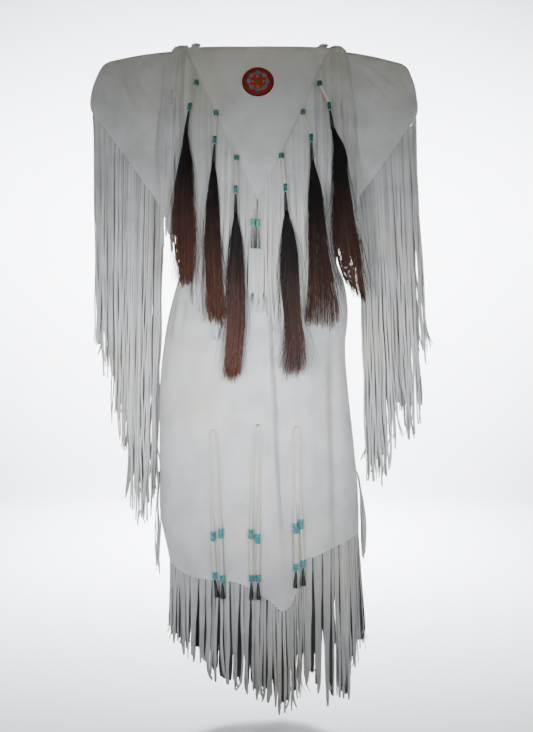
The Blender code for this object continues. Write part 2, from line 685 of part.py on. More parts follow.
def hang(tree, start, end, lift, rings, half=0.0, slope=0.0, spread=1.0, levels=None):
    """Points down a strand from start to (x, z) of end, which lies on the body as a string does.

    They are spaced by their own run, or stand at the heights given as levels and at the end.
    """
    fine = np.linspace(0.0, 1.0, 60)
    x = start[0] + (end[0] - start[0]) * fine ** spread
    z = start[2] + (end[1] - start[2]) * fine
    need = -1.0 + 0 * x
    for reach in (-half, 0.0, half):
        here = np.array([front_at(tree, a + reach, b) for a, b in zip(x, z)])
        need = np.maximum(need, here - slope * reach)
    need = np.maximum.accumulate(np.maximum(need + lift, -start[1]))
    first = min(FIRST_STEP / (start[2] - end[1]), 0.5)
    share = np.concatenate([[first], first + (1 - first) * np.linspace(0, 1, rings + 1)[1:] ** 1.15])
    if levels is not None:
        share = np.append(start[2] - levels, start[2] - end[1]) / (start[2] - end[1])
    out = np.interp(share, fine, need)
    chord = np.interp(fine, np.concatenate([[0.0], share]), np.concatenate([[-start[1]], out]))
    out = out + np.max(np.maximum(need - chord, 0.0)[fine >= first], initial=0.0)
    return np.stack([np.interp(share, fine, x), -out, np.interp(share, fine, z)], axis=-1)


# Yoke, rosette and knots

def yoke_half(drop):
    return smooth(drop, YOKE, YOKE_COLUMNS, "half_width")


def overlay(x, z, lift):
    """Points and directions on the front, lifted off it."""
    reach = 0.002
    here = surface("front", x, z)
    right = surface("front", x + reach, z) - surface("front", x - reach, z)
    up = surface("front", x, z + reach) - surface("front", x, z - reach)
    way = unit(np.cross(right, up))
    return here + way * lift, way


def make_yoke():
    """The V-shaped yoke, lying just off the front panel."""
    across = np.array(HALF_COLUMNS[:YOKE_PANEL_COLUMNS])
    rows = []
    for drop in YOKE_DROPS:
        edge = yoke_half(drop)
        inner = half_width(drop) * np.sin(across * turn(drop)) / np.sin(turn(drop))
        inner = inner * min(1.0, edge * YOKE_LAST_SHARE / inner[-1])
        x = np.concatenate([[-edge], -inner[::-1], [0.0], inner, [edge]])
        rows.append(surface("front", x, height("front", x, drop)))
    grid = np.array(rows)
    way = grid_normals(grid)
    for col in np.nonzero(np.abs(grid[0, :, 0]) > NECK_HALF_WIDTH)[0]:
        way[0, col] = ridge_normal(np.sign(grid[0, col, 0]))
    outer = grid + way * (OVERLAY_LIFT + OVERLAY_WALL)
    outer[0, :, 1] = np.minimum(outer[0, :, 1], -SEAM_GAP)
    return shell("yoke_front", outer, way, OVERLAY_WALL)


def make_rosette():
    """A round, slightly domed disc that follows the chest."""
    around, rings = 20, 3
    layers = []
    for lift, dome in ((ROSETTE_LIFT + ROSETTE_THICKNESS, 0.0008), (ROSETTE_LIFT, 0.0)):
        layer = []
        for ring in range(1, rings + 1):
            radius = ROSETTE_RADIUS * ring / rings
            angle = np.arange(around) * 2 * math.pi / around
            x = ROSETTE_X + radius * np.cos(angle)
            z = ROSETTE_Z + radius * np.sin(angle) * ROSETTE_TILT
            points, way = overlay(x, z, lift)
            layer.append(points + way * dome * (1 - (ring / rings) ** 2))
        middle, way = overlay(np.array([ROSETTE_X]), np.array([ROSETTE_Z]), lift + dome)
        layers.append((middle[0], layer))
    points, faces = [], []
    for middle, layer in layers:
        points += [middle, *np.concatenate(layer)]
    per_layer = 1 + around * rings
    for base in (0, per_layer):
        for k in range(around):
            after = (k + 1) % around
            fan = [(base, base + 1 + k, base + 1 + after)]
            for ring in range(rings - 1):
                a, b = base + 1 + ring * around + k, base + 1 + ring * around + after
                fan += [(a, a + around, b + around), (a, b + around, b)]
            faces += fan if base == 0 else [tuple(reversed(face)) for face in fan]
    rim = 1 + around * (rings - 1)
    for k in range(around):
        a, b = rim + k, rim + (k + 1) % around
        faces += [(a, a + per_layer, b + per_layer), (a, b + per_layer, b)]
    return solid("rosette", points, faces)


# Fringes

def run_counts(points, total):
    """How many strands each straight run of a line takes, in proportion to its length."""
    length = np.linalg.norm(np.diff(points, axis=0), axis=1)
    ends = np.round(np.cumsum(length) / length.sum() * total).astype(int)
    counts = np.diff(np.concatenate([[0], ends]))
    return np.maximum(counts, 1)


def divided(values, counts):
    """Rows read along a line of rows, with each run split evenly into its count."""
    parts = [values[:1]]
    for k, count in enumerate(counts):
        share = np.linspace(0.0, 1.0, count + 1)[1:, None]
        parts.append(values[k] + (values[k + 1] - values[k]) * share)
    return np.concatenate(parts)


def beside(edge, normals, away, gap):
    """The line that runs at a gap beside an edge, mitred at its corners."""
    runs = unit(np.diff(edge, axis=0))
    facing_runs = unit(normals[:-1] + normals[1:])
    out = unit(np.cross(runs, facing_runs))
    out = out * np.sign(np.sum(out * away, axis=-1, keepdims=True))
    before = np.concatenate([out[:1], out])
    after = np.concatenate([out, out[-1:]])
    mitre = (before + after) / (1 + np.sum(before * after, axis=-1, keepdims=True))
    return edge + mitre * gap


def make_hem_fringe(face, chance, panel):
    """Straight-cut fringe below the panel's lower edge."""
    grid, facing_out = panel
    edge, walls = grid[-1], facing_out[-1]
    counts = run_counts(edge, HEM_STRANDS[face])
    beside_edge = beside(edge, walls, np.array((0.0, 0.0, -1.0)), SEAM_GAP)
    beside_edge[[0, -1], :2] = edge[[0, -1], :2]
    top, walls = divided(beside_edge, counts), unit(divided(walls, counts))
    low = top - (0, 0, STRIP_HEIGHT)
    tips_table = FRONT_HEM_TIPS if face == "front" else BACK_HEM_TIPS
    strands = []
    for k in range(len(top) - 1):
        left, right = low[k], low[k + 1]
        across = unit((right - left) * (1, 1, 0))
        away = np.array((across[1], -across[0], 0.0)) * (1 if face == "front" else -1)
        pitch = np.linalg.norm((right - left)[:2])
        middle = (left + right) / 2 - away * WALL / 2
        place = (middle[0] - middle_shift(HEM_DROP)) / half_width(HEM_DROP)
        tip = smooth(place, tips_table, HEM_TIP_COLUMNS, "height") + chance.uniform(-0.008, 0.006)
        first = min(left[2], right[2]) - 0.010
        heights = np.array([first, first + (tip - first) * 0.5, tip])
        drift = chance.uniform(-0.07, 0.07) * pitch
        flare = np.array((HEM_FLARE * max(place, 0.0) ** 3, 0.0, 0.0))
        centres = np.array([middle + (across * drift + flare) * run for run in (0.1, 0.6, 1.0)])
        centres[:, 2] = heights
        half = pitch / 2 * np.array([STRAND_FILL, STRAND_FILL * 0.95, TIP_FILL])
        strands.append(strand_rings(centres, half, across, away))
    return comb("hem_fringe_" + face, top, low, walls, strands, WALL)


def make_sleeve_fringe(side_name, face, chance, sleeve):
    """Fringe along the sleeve's slanted lower edge, hanging straight down."""
    side = SIDES[side_name]
    grid, way = sleeve
    arm = len(ARMHOLE_DROPS)
    if face == "front":
        rows = np.arange(arm - 1 - CUFF_CORNER, -1, -1)
    else:
        rows = np.arange(arm - 1 + CUFF_CORNER, 2 * arm - 1)
    edge, inner, walls = grid[rows, -1], grid[rows, -2], way[rows, -1]
    counts = run_counts(edge, SLEEVE_STRANDS[face])
    away = unit(edge.mean(axis=0) - inner.mean(axis=0))
    top = divided(beside(edge, walls, away, SEAM_GAP), counts)
    walls = unit(divided(walls, counts))
    low = top - (0, 0, STRIP_HEIGHT)
    sign = -1.0 if face == "front" else 1.0
    across = np.array((-side * 1.0, 0.0, 0.0))
    outward = np.array((0.0, sign, 0.0))
    total = len(top) - 1
    strands = []
    for k in range(total):
        left, right = low[k], low[k + 1]
        middle = (left + right) / 2 - (walls[k] + walls[k + 1]) / 2 * WALL / 2
        pitch = abs(right[0] - left[0])
        share = (k + 0.5) / total
        outer_tip, inner_tip = SLEEVE_TIP_SPAN[side_name]
        tip_x = outer_tip + (inner_tip - outer_tip) * share
        tip_z = smooth(share, SLEEVE_TIPS, SLEEVE_TIP_COLUMNS, side_name)
        tip_z = tip_z + chance.uniform(-0.012, 0.010) + (BACK_TIP_RISE if face == "back" else 0.0)
        first = min(left[2], right[2]) - 0.008
        runs = np.array([0.0, 0.33, 0.68, 1.0])
        levels = first + (tip_z - first) * runs
        half = pitch / 2 * np.array([STRAND_FILL, STRAND_FILL * 0.87, 0.70, TIP_FILL])
        outer_swing, inner_swing = SLEEVE_SWING[side_name]
        swing = outer_swing + (inner_swing - outer_swing) * share
        centres = []
        for level, wide, run in zip(levels, half, runs):
            x = abs(middle[0]) + (tip_x - abs(middle[0])) * run ** swing
            hip = half_width(-level) + side * middle_shift(-level)
            x = max(x, hip + SLEEVE_HIP_CLEARANCE + wide) if run > 0 else x
            centres.append((side * x, middle[1], level))
        strands.append(strand_rings(np.array(centres), half, across, outward))
    return comb(f"sleeve_fringe_{face}_{side_name}", top, low, walls, strands, WALL)


def make_yoke_fringe(side_name, chance, tree):
    """Fringe let in along one edge of the yoke's V, hanging over the chest."""
    side = SIDES[side_name]
    drops = np.linspace(0.016, 0.322, YOKE_STRANDS + 1)
    x = side * (yoke_half(drops) + SEAM_GAP * 2.5)
    z = -drops
    lift = OVERLAY_LIFT + OVERLAY_WALL
    top, way = overlay(x, z, lift)
    low, low_way = overlay(x, z - STRIP_HEIGHT, lift)
    strands = []
    for k in range(YOKE_STRANDS):
        middle = (low[k] + low[k + 1]) / 2 - (low_way[k] + low_way[k + 1]) / 2 * OVERLAY_WALL / 2
        pitch = abs(low[k + 1][0] - low[k][0])
        tip = smooth((k + 0.5) / YOKE_STRANDS, YOKE_TIPS, YOKE_TIP_COLUMNS, "height")
        tip = tip + chance.uniform(-0.02, 0.015)
        slope = slope_at(middle[0], max(middle[2], -BUST_DROP) * 0.5 - BUST_DROP * 0.5)
        across, outward = facing(slope)
        centres = hang(tree, middle, (middle[0] + side * 0.004, tip), OVERLAY_LIFT + 0.0012, 3,
                       half=pitch * 0.4, slope=slope)
        half = pitch / 2 * np.array([STRAND_FILL * 0.92, 0.77, 0.70, TIP_FILL])
        strands.append(strand_rings(centres, half, -side * across, outward, OVERLAY_WALL))
    return comb("yoke_fringe_" + side_name, top, low, (way + low_way) / 2, strands, OVERLAY_WALL)


def make_shoulder_fringe(side_name, chance, tree):
    """Long thongs gathered on the shoulder, hanging over the front of the armhole."""
    side = SIDES[side_name]
    x = side * np.linspace(*SHOULDER_SPAN, SHOULDER_STRANDS + 1)
    lift = OVERLAY_LIFT + OVERLAY_WALL
    rows = []
    for level in (SHOULDER_ROOT_HEIGHT, SHOULDER_ROOT_HEIGHT - STRIP_HEIGHT):
        heights = level - np.abs(x) * SHOULDER_ROOT_SLOPE
        out = np.array([front_at(tree, a, b) for a, b in zip(x, heights)])
        rows.append(np.stack([x, -out - OVERLAY_WALL - SHOULDER_ROOT_LIFT, heights], axis=-1))
    top, low = rows
    way = unit(np.broadcast_to((0.0, -1.0, 0.5), top.shape))
    strands = []
    for k in range(SHOULDER_STRANDS):
        middle = (low[k] + low[k + 1]) / 2 - way[k] * OVERLAY_WALL / 2
        pitch = abs(low[k + 1][0] - low[k][0])
        tip = SHOULDER_TIPS[side_name] + chance.uniform(-0.03, 0.03)
        centres = hang(tree, middle, (middle[0] + side * 0.001, tip), lift + 0.0006, 3,
                       half=pitch * 0.4)
        half = pitch / 2 * np.array([STRAND_FILL, 0.77, 0.70, TIP_FILL])
        across = np.array((side * 1.0, 0.0, 0.0))
        strands.append(strand_rings(centres, half, across, np.array((0.0, -1.0, 0.0)), OVERLAY_WALL))
    return comb("shoulder_fringe_" + side_name, top, low, way, strands, OVERLAY_WALL)


def side_place(side, y, z, lift):
    """A point off the side of the skirt, and the direction away from it."""
    mid = smooth(-z, SECTIONS, SECTION_COLUMNS, "front_mid" if y < 0 else "back_mid")
    wide = half_width(-z)
    x = wide * math.sqrt(1 - (y / mid) ** 2)
    way = unit(np.array((x / wide**2, y / mid**2, 0.0))) * (side, 1, 1)
    return np.array((middle_shift(-z) + side * x, y, z)) + way * lift, way


def make_side_fringe(side_name, chance):
    """A short row of thongs tied at the side seam, lying against the skirt."""
    side = SIDES[side_name]
    lift = SIDE_LIFT + OVERLAY_WALL
    spots = np.linspace(-SIDE_HALF_SPAN, SIDE_HALF_SPAN, SIDE_STRANDS + 1) * -side
    top, ways, low = [], [], []
    for y in spots:
        place, way = side_place(side, y, SIDE_ROOT_HEIGHT, lift)
        top.append(place)
        ways.append(way)
        low.append(side_place(side, y, SIDE_ROOT_HEIGHT - STRIP_HEIGHT, lift)[0])
    top, ways, low = np.array(top), np.array(ways), np.array(low)
    strands = []
    for k in range(SIDE_STRANDS):
        y = (spots[k] + spots[k + 1]) / 2
        tip = SIDE_TIPS[side_name] + chance.uniform(-0.02, 0.02)
        first = SIDE_ROOT_HEIGHT - STRIP_HEIGHT - 0.008
        levels = first + (tip - first) * np.array([0.0, 0.33, 0.67, 1.0])
        off = lift - OVERLAY_WALL / 2 + SEAM_GAP
        centres = np.array([side_place(side, y, level, off)[0] for level in levels])
        centres[:, 0] = side * np.maximum.accumulate(side * centres[:, 0])
        outward = side_place(side, y, first, 0.0)[1]
        centres += outward * SIDE_LEAN[side_name] * np.sqrt(np.array([[0.0], [0.33], [0.67], [1.0]]))
        across = np.array((-outward[1], outward[0], 0.0))
        across = across * np.sign(np.dot(across, low[k + 1] - low[k]))
        pitch = np.linalg.norm(low[k + 1] - low[k])
        half = pitch / 2 * np.array([STRAND_FILL, 0.76, 0.70, TIP_FILL])
        strands.append(strand_rings(centres, half, across, outward, OVERLAY_WALL))
    return comb("side_fringe_" + side_name, top, low, ways, strands, OVERLAY_WALL)


# Laces, beads, cones and horsehair

def bead_run(path, radii, flats, middle, count, radius, length, axis=(0.0, 0.0, -1.0)):
    """Add a stack of beads to a tube's path: each bead is a barrel of three rings."""
    axis = np.asarray(axis)
    start = middle - axis * length * count / 2
    path.append(start - axis * 0.0004)
    radii.append(LACE_RADIUS)
    flats.append(1.0)
    for k in range(count):
        for share, size in ((0.06, 0.72), (0.5, 1.0), (0.94, 0.72)):
            path.append(start + axis * length * (k + share))
            radii.append(radius * size)
            flats.append(1.0)
    path.append(start + axis * (length * count + 0.0004))
    radii.append(LACE_RADIUS)
    flats.append(1.0)


def lace_start(tree, x, z):
    """Two points where a lace's upper end lies, just off the layer that carries it."""
    out = max(front_at(tree, x + reach, z) for reach in (-LACE_RADIUS, 0.0, LACE_RADIUS))
    _, way = overlay(np.array([x]), np.array([z]), 0.0)
    first = np.array((x, -out, z)) + way[0] * (LACE_RADIUS + SEAT_GAP)
    return first, first - np.array((0.0, 0.0, LACE_RADIUS * 3)) + way[0] * SEAT_GAP


def make_chest_drop(name, row, tree):
    """A lace with one bead, two more beads, a cone and a lock of horsehair."""
    spot = named(DROP_COLUMNS, row)
    first, start = lace_start(tree, spot["top_x"], spot["top_z"])
    reach = dict(lift=DROP_LIFT, half=CHEST_TOP_BEAD_RADIUS)
    high = hang(tree, start, (spot["high_x"], spot["high_z"]), rings=1, **reach)[-1]
    low = hang(tree, high, (spot["low_x"], spot["low_z"]), rings=3, **reach)[-1]
    end = hang(tree, low, (spot["cone_x"], spot["cone_z"]), rings=3, **reach)[-1]
    way = unit(end - low)
    cone_top = end - way * CHEST_CONE_LENGTH
    path, radii, flats = [first, start], [LACE_RADIUS, LACE_RADIUS], [1.0, 1.0]
    bead_run(path, radii, flats, high, 1, CHEST_TOP_BEAD_RADIUS, CHEST_TOP_BEAD_LENGTH)
    second = cone_top - way * (CHEST_BEAD_LENGTH + BEAD_CONE_GAP)
    bead_run(path, radii, flats, second, 2, CHEST_BEAD_RADIUS, CHEST_BEAD_LENGTH, way)
    path.append(cone_top + way * CONE_REACH)
    radii.append(LACE_RADIUS)
    flats.append(1.0)
    tube(f"chest_drop_{name}_beads", path, radii, flats)
    cone(f"chest_drop_{name}_cone", cone_top, end, CHEST_CONE_RADII)
    make_hair(f"chest_drop_{name}_hair", end, way, spot, tree)


def make_hair(name, end, way, spot, tree):
    """A lock of horsehair: a plug inside the cone, parting into tapered strands."""
    reach = CHEST_CONE_RADII[1] - CONE_WALL - HAIR_ROOT_GAP
    root = end - way * HAIR_ROOT_LENGTH
    across = np.array((1.0, 0.0, 0.0))
    outward = np.array((0.0, -1.0, 0.0))
    spots = np.linspace(-reach, reach, HAIR_LOCKS + 1)
    top = np.array([root + across * spot_x + outward * HAIR_ROOT_DEPTH / 2 for spot_x in spots])
    low = top + way * (HAIR_ROOT_LENGTH + 0.001)
    normals = np.broadcast_to(outward, top.shape)
    lock_width = abs(spot["hair_right"] - spot["hair_left"]) / HAIR_LOCKS
    root_width = 2 * reach / HAIR_LOCKS
    shares = (np.arange(HAIR_LOCKS) + 0.5) / HAIR_LOCKS
    tips_x = spot["hair_left"] + (spot["hair_right"] - spot["hair_left"]) * shares
    tips_z = spot["hair_z"] + (end[2] - spot["hair_z"]) * HAIR_TIP_CURVE * np.abs(2 * shares - 1)
    tips_z = tips_z + spot["hair_slant"] * (1 - shares)
    first_level = low[0][2] - HAIR_FIRST_STEP
    levels = first_level + (tips_z.max() - first_level) * np.array(HAIR_LEVELS)
    lines = []
    for k in range(HAIR_LOCKS):
        first = (low[k] + low[k + 1]) / 2 - outward * HAIR_ROOT_DEPTH / 2
        lines.append(hang(tree, first, (tips_x[k], tips_z[k]), HAIR_LIFT, len(levels),
                          half=lock_width / 2, spread=HAIR_SPREAD, levels=levels))
    strands = []
    for k, line in enumerate(lines):
        done = ((line[0, 2] - line[:, 2]) / (line[0, 2] - line[-1, 2])) ** HAIR_SPREAD
        room = root_width * (1 - done) + lock_width * done
        for beside_it in lines[max(k - 1, 0):k] + lines[k + 1:k + 2]:
            other_x = np.interp(-line[:, 2], -beside_it[:, 2], beside_it[:, 0])
            room = np.minimum(room, np.abs(other_x - line[:, 0]))
        half = room * HAIR_FILL / 2
        half[-1] *= 0.45
        rings = []
        for centre, wide, deep in zip(line, half, HAIR_DEPTHS):
            rings += strand_rings([centre], [wide], across, outward, deep)
        strands.append(rings)
    return comb(name, top, low, normals, strands, HAIR_ROOT_DEPTH)


def make_centre_drop(side_name, row, tree):
    """Two beads and a cone below the point of the yoke."""
    spot = named(CENTRE_DROP_COLUMNS, row)
    x = spot["x"]
    first, start = lace_start(tree, x * 0.55, CENTRE_DROP_TOP)
    bead = hang(tree, start, (x, spot["bead_z"]), DROP_LIFT, 2, half=CHEST_BEAD_RADIUS)[-1]
    low = hang(tree, bead, (x, spot["cone_low"]), DROP_LIFT, 2, half=CHEST_BEAD_RADIUS)[-1]
    bead[1] = low[1]
    cone_top = np.array((x, low[1], spot["cone_top"]))
    path, radii, flats = [first, start], [LACE_RADIUS, LACE_RADIUS], [1.0, 1.0]
    bead_run(path, radii, flats, bead, 2, CHEST_BEAD_RADIUS, CHEST_BEAD_LENGTH)
    path.append(cone_top - (0, 0, CONE_REACH))
    radii.append(LACE_RADIUS)
    flats.append(1.0)
    tube(f"centre_drop_{side_name}_beads", path, radii, flats)
    cone(f"centre_drop_{side_name}_cone", cone_top, low, CHEST_CONE_RADII)


def make_skirt_lace(name, legs, tree):
    """A lace in two legs from one bridge, with beads and a cone on each leg."""
    path, radii, flats = [], [], []
    cones = []
    sides = []
    for row in legs:
        spot = named(LACE_COLUMNS, row)
        corner = np.array((spot["bridge_x"], 0.0, spot["bridge_z"]))
        corner[1] = -front_at(tree, corner[0], corner[2]) - LACE_LIFT
        one_path, one_radii, one_flats = [], [], []
        for place, length, count in ((("high_x", "high_z"), 0.0098, 2), (("low_x", "low_z"), 0.0068, 2)):
            if not one_path:
                for share in (0.0, 0.35, 0.7):
                    x = corner[0] + (spot["high_x"] - corner[0]) * share
                    z = corner[2] + (spot["high_z"] - corner[2]) * share
                    one_path.append(np.array((x, -front_at(tree, x, z) - LACE_LIFT, z)))
                    one_radii.append(LACE_RADIUS * 1.5)
                    one_flats.append(0.6)
            x, z = spot[place[0]], spot[place[1]]
            base = max(front_at(tree, x, z + shift) for shift in (-0.012, 0.0, 0.012))
            base = max(base, front_at(tree, spot["low_x"], -1.03))
            middle = np.array((x, -base - SKIRT_BEAD_LIFT, z))
            bead_run(one_path, one_radii, one_flats, middle, count, BEAD_RADIUS, length)
        end = np.array((spot["cone_x"], one_path[-1][1], spot["cone_z"]))
        cone_top = one_path[-1] - (0, 0, 0.0008)
        one_path.append(cone_top + (end - cone_top) * 0.2)
        one_radii.append(LACE_RADIUS)
        one_flats.append(1.0)
        sides.append((one_path, one_radii, one_flats))
        cones.append((cone_top, end))
    for values, first, second in zip((path, radii, flats), sides[0], sides[1]):
        values += list(reversed(first)) + list(second)
    tube(f"skirt_lace_{name}_beads", path, radii, flats)
    for number, (top, low) in enumerate(cones, 1):
        cone(f"skirt_lace_{name}_cone_{number}", top, low, SKIRT_CONE_RADII)


def main():
    for old in list(bpy.data.objects):
        bpy.data.objects.remove(old)
    chance = np.random.default_rng(7)
    made, panels, sleeves = make_cloth()
    under = [made["front"], made["left"], made["right"]]
    tree = body_tree(under)
    under.append(make_yoke())
    make_rosette()
    for face in ("front", "back"):
        make_hem_fringe(face, chance, panels[face])
        for side_name in SIDES:
            make_sleeve_fringe(side_name, face, chance, sleeves[side_name])
    for side_name in SIDES:
        under.append(make_yoke_fringe(side_name, chance, tree))
        under.append(make_shoulder_fringe(side_name, chance, tree))
        make_side_fringe(side_name, chance)
    cover = body_tree(under)
    for side_name in SIDES:
        make_centre_drop(side_name, CENTRE_DROPS[side_name], cover)
        tie = SHOULDER_TIES[side_name]
        blob("shoulder_tie_" + side_name, tie[:3], tie[3:], cover)
        knot = NECK_KNOTS[side_name]
        blob("neck_knot_" + side_name, knot[:3], knot[3:], cover, lobes=4, around=8, rings=4)
    for name, row in CHEST_DROPS.items():
        make_chest_drop(name, row, cover)
    for name, legs in SKIRT_LACES.items():
        make_skirt_lace(name, legs, tree)


main()
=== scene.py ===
"""Looks of a fringed buckskin wedding dress: fine hide, cut fringe, beadwork, cones and horsehair.

Laid out as an add-on and run as a script in Blender 4.5. Metres, +Z up, the front faces -Y.
"""
import math

import bpy
import numpy as np
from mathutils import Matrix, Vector
from mathutils.bvhtree import BVHTree


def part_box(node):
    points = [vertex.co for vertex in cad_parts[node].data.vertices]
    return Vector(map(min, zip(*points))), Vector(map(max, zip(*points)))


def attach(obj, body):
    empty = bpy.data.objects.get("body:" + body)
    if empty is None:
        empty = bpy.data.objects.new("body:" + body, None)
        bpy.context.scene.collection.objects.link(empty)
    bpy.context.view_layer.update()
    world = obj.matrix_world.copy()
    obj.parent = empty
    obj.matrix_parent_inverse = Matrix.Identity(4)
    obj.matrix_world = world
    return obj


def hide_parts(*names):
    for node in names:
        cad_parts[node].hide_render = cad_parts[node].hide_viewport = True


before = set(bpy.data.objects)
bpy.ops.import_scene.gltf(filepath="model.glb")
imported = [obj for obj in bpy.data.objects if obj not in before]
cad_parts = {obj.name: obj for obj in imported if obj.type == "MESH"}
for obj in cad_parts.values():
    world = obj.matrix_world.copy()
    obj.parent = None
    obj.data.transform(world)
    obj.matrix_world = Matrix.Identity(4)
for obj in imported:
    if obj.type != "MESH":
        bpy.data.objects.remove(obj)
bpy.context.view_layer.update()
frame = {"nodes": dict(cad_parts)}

bl_info = {
    "name": "Fringed Buckskin Wedding Dress",
    "version": (1, 0, 0),
    "blender": (4, 5, 0),
    "location": "View3D > Sidebar > Dress",
    "description": "Builds the hide, fringe, beadwork and horsehair of a buckskin wedding dress",
    "category": "Add Mesh",
}


def columns(names, rows):
    """A table as one array for each named column; the first column is what it is read by."""
    return dict(zip(names.split(), np.array(rows, dtype=float).T))


# The dress's own measures, the same as its solids have, in metres below the shoulder
SECTIONS = columns(
    "drop shift half_width front_mid front_edge back_mid back_edge turn",
    (
        (0.000, 0.0000, 0.1650, 0.052, 0.000, 0.045, 0.000, 42),
        (0.012, 0.0000, 0.1660, 0.068, 0.028, 0.062, 0.028, 44),
        (0.035, 0.0000, 0.1680, 0.080, 0.046, 0.078, 0.046, 46),
        (0.075, 0.0000, 0.1710, 0.090, 0.060, 0.092, 0.058, 48),
        (0.125, 0.0000, 0.1750, 0.100, 0.068, 0.100, 0.064, 52),
        (0.180, 0.0000, 0.1800, 0.113, 0.066, 0.103, 0.062, 58),
        (0.235, 0.0000, 0.1850, 0.122, 0.054, 0.102, 0.050, 66),
        (0.285, 0.0000, 0.1890, 0.125, 0.034, 0.100, 0.030, 76),
        (0.3255, 0.0000, 0.1910, 0.122, 0.006, 0.097, 0.006, 86),
        (0.370, 0.0030, 0.1720, 0.112, 0.000, 0.093, 0.000, 90),
        (0.430, 0.0060, 0.1555, 0.100, 0.000, 0.092, 0.000, 90),
        (0.490, 0.0060, 0.1750, 0.105, 0.000, 0.104, 0.000, 90),
        (0.550, 0.0018, 0.1868, 0.113, 0.000, 0.118, 0.000, 90),
        (0.620, -0.0070, 0.1900, 0.120, 0.000, 0.128, 0.000, 90),
        (0.700, -0.0085, 0.1960, 0.126, 0.000, 0.132, 0.000, 90),
        (0.800, -0.0040, 0.2020, 0.131, 0.000, 0.136, 0.000, 90),
        (0.900, 0.0010, 0.2065, 0.135, 0.000, 0.140, 0.000, 90),
        (0.980, 0.0040, 0.2070, 0.138, 0.000, 0.143, 0.000, 90),
        (1.030, 0.0090, 0.2015, 0.140, 0.000, 0.145, 0.000, 90),
        (1.080, 0.0132, 0.1968, 0.141, 0.000, 0.147, 0.000, 90),
        (1.150, 0.0132, 0.1968, 0.142, 0.000, 0.148, 0.000, 90),
    ),
)
NECK_HALF_WIDTH = 0.125
SHOULDER_ZONE = 0.125
NECK_RISE = 0.002
FRONT_NECK_DIP = 0.015
SHOULDER_SLOPE = 0.10
ARMHOLE_END = 0.3255
HEM_DROP = 1.05
HEM_START = 0.40

HEMS = {
    "front": columns("across height", (
        (-1.00, -1.067), (-0.76, -1.082), (-0.50, -1.085), (-0.29, -1.086), (0.04, -1.119),
        (0.22, -1.138), (0.31, -1.113), (0.40, -1.047), (0.50, -1.040), (0.80, -1.020),
        (1.00, -1.007),
    )),
    "back": columns("across height", (
        (-1.00, -1.067), (-0.60, -1.088), (-0.10, -1.112), (0.25, -1.098), (0.65, -1.050),
        (1.00, -1.007),
    )),
}
HEM_TIPS = {
    "front": columns("across height", (
        (-1.00, -1.205), (-0.85, -1.235), (-0.65, -1.245), (-0.48, -1.279), (-0.25, -1.293),
        (0.00, -1.314), (0.25, -1.333), (0.36, -1.310), (0.45, -1.288), (0.60, -1.313),
        (0.72, -1.335), (0.82, -1.325), (0.90, -1.262), (1.00, -1.235),
    )),
    "back": columns("across height", (
        (-1.00, -1.205), (-0.50, -1.300), (0.00, -1.325), (0.55, -1.310), (1.00, -1.235),
    )),
}

# Folds and creases: top and bottom of each line, how wide it is and how far it stands out
FOLDS = {
    "front": columns("top_x top_z low_x low_z half_width lift", (
        (0.014, -0.46, 0.050, -1.14, 0.017, 0.0050),
        (0.040, -0.46, 0.082, -1.14, 0.016, -0.0060),
        (0.150, -0.56, 0.168, -1.08, 0.018, 0.0035),
        (-0.110, -0.60, -0.128, -1.14, 0.026, 0.0030),
        (-0.060, -0.66, -0.066, -1.14, 0.020, -0.0030),
    )),
    "back": columns("top_x top_z low_x low_z half_width lift", (
        (-0.090, -0.52, -0.120, -1.14, 0.026, 0.0050),
        (-0.030, -0.50, -0.040, -1.14, 0.022, -0.0050),
        (0.050, -0.52, 0.062, -1.14, 0.026, 0.0050),
        (0.115, -0.58, 0.135, -1.14, 0.020, -0.0035),
    )),
}
CREASES = columns("top_x top_z low_x low_z half_width lift", (
    (0.025, -0.430, 0.058, -1.130, 0.0070, -0.0080),
    (0.008, -0.450, 0.052, -1.120, 0.0120, 0.0058),
    (0.046, -0.500, 0.096, -1.100, 0.0140, 0.0042),
    (-0.070, -0.560, -0.078, -1.060, 0.0180, 0.0036),
    (-0.030, -0.560, -0.030, -1.020, 0.0160, -0.0034),
    (0.152, -0.540, 0.163, -1.110, 0.0120, -0.0100),
    (-0.168, -0.495, -0.184, -0.640, 0.0060, -0.0030),
    (-0.155, -0.490, -0.170, -0.600, 0.0060, 0.0026),
    (-0.139, -0.490, -0.161, -0.620, 0.0065, -0.0026),
    (-0.120, -0.470, -0.146, -0.560, 0.0060, 0.0020),
    (0.150, -0.480, 0.172, -0.620, 0.0070, -0.0028),
    (0.134, -0.470, 0.152, -0.570, 0.0060, 0.0022),
    (0.008, -0.470, 0.016, -0.700, 0.0080, -0.0016),
    (-0.020, -0.520, -0.030, -0.720, 0.0090, 0.0014),
    (0.096, -0.600, 0.104, -0.860, 0.0120, 0.0018),
    (-0.150, -0.700, -0.160, -0.960, 0.0100, -0.0016),
    (0.020, -0.860, 0.036, -1.090, 0.0070, -0.0018),
    (0.120, -0.760, 0.128, -1.000, 0.0090, -0.0016),
    (-0.095, -0.020, -0.060, -0.075, 0.0080, 0.0012),
    (0.085, -0.020, 0.050, -0.085, 0.0080, 0.0012),
    (-0.060, -0.180, 0.000, -0.240, 0.0110, 0.0014),
    (0.065, -0.150, 0.010, -0.230, 0.0100, 0.0012),
))
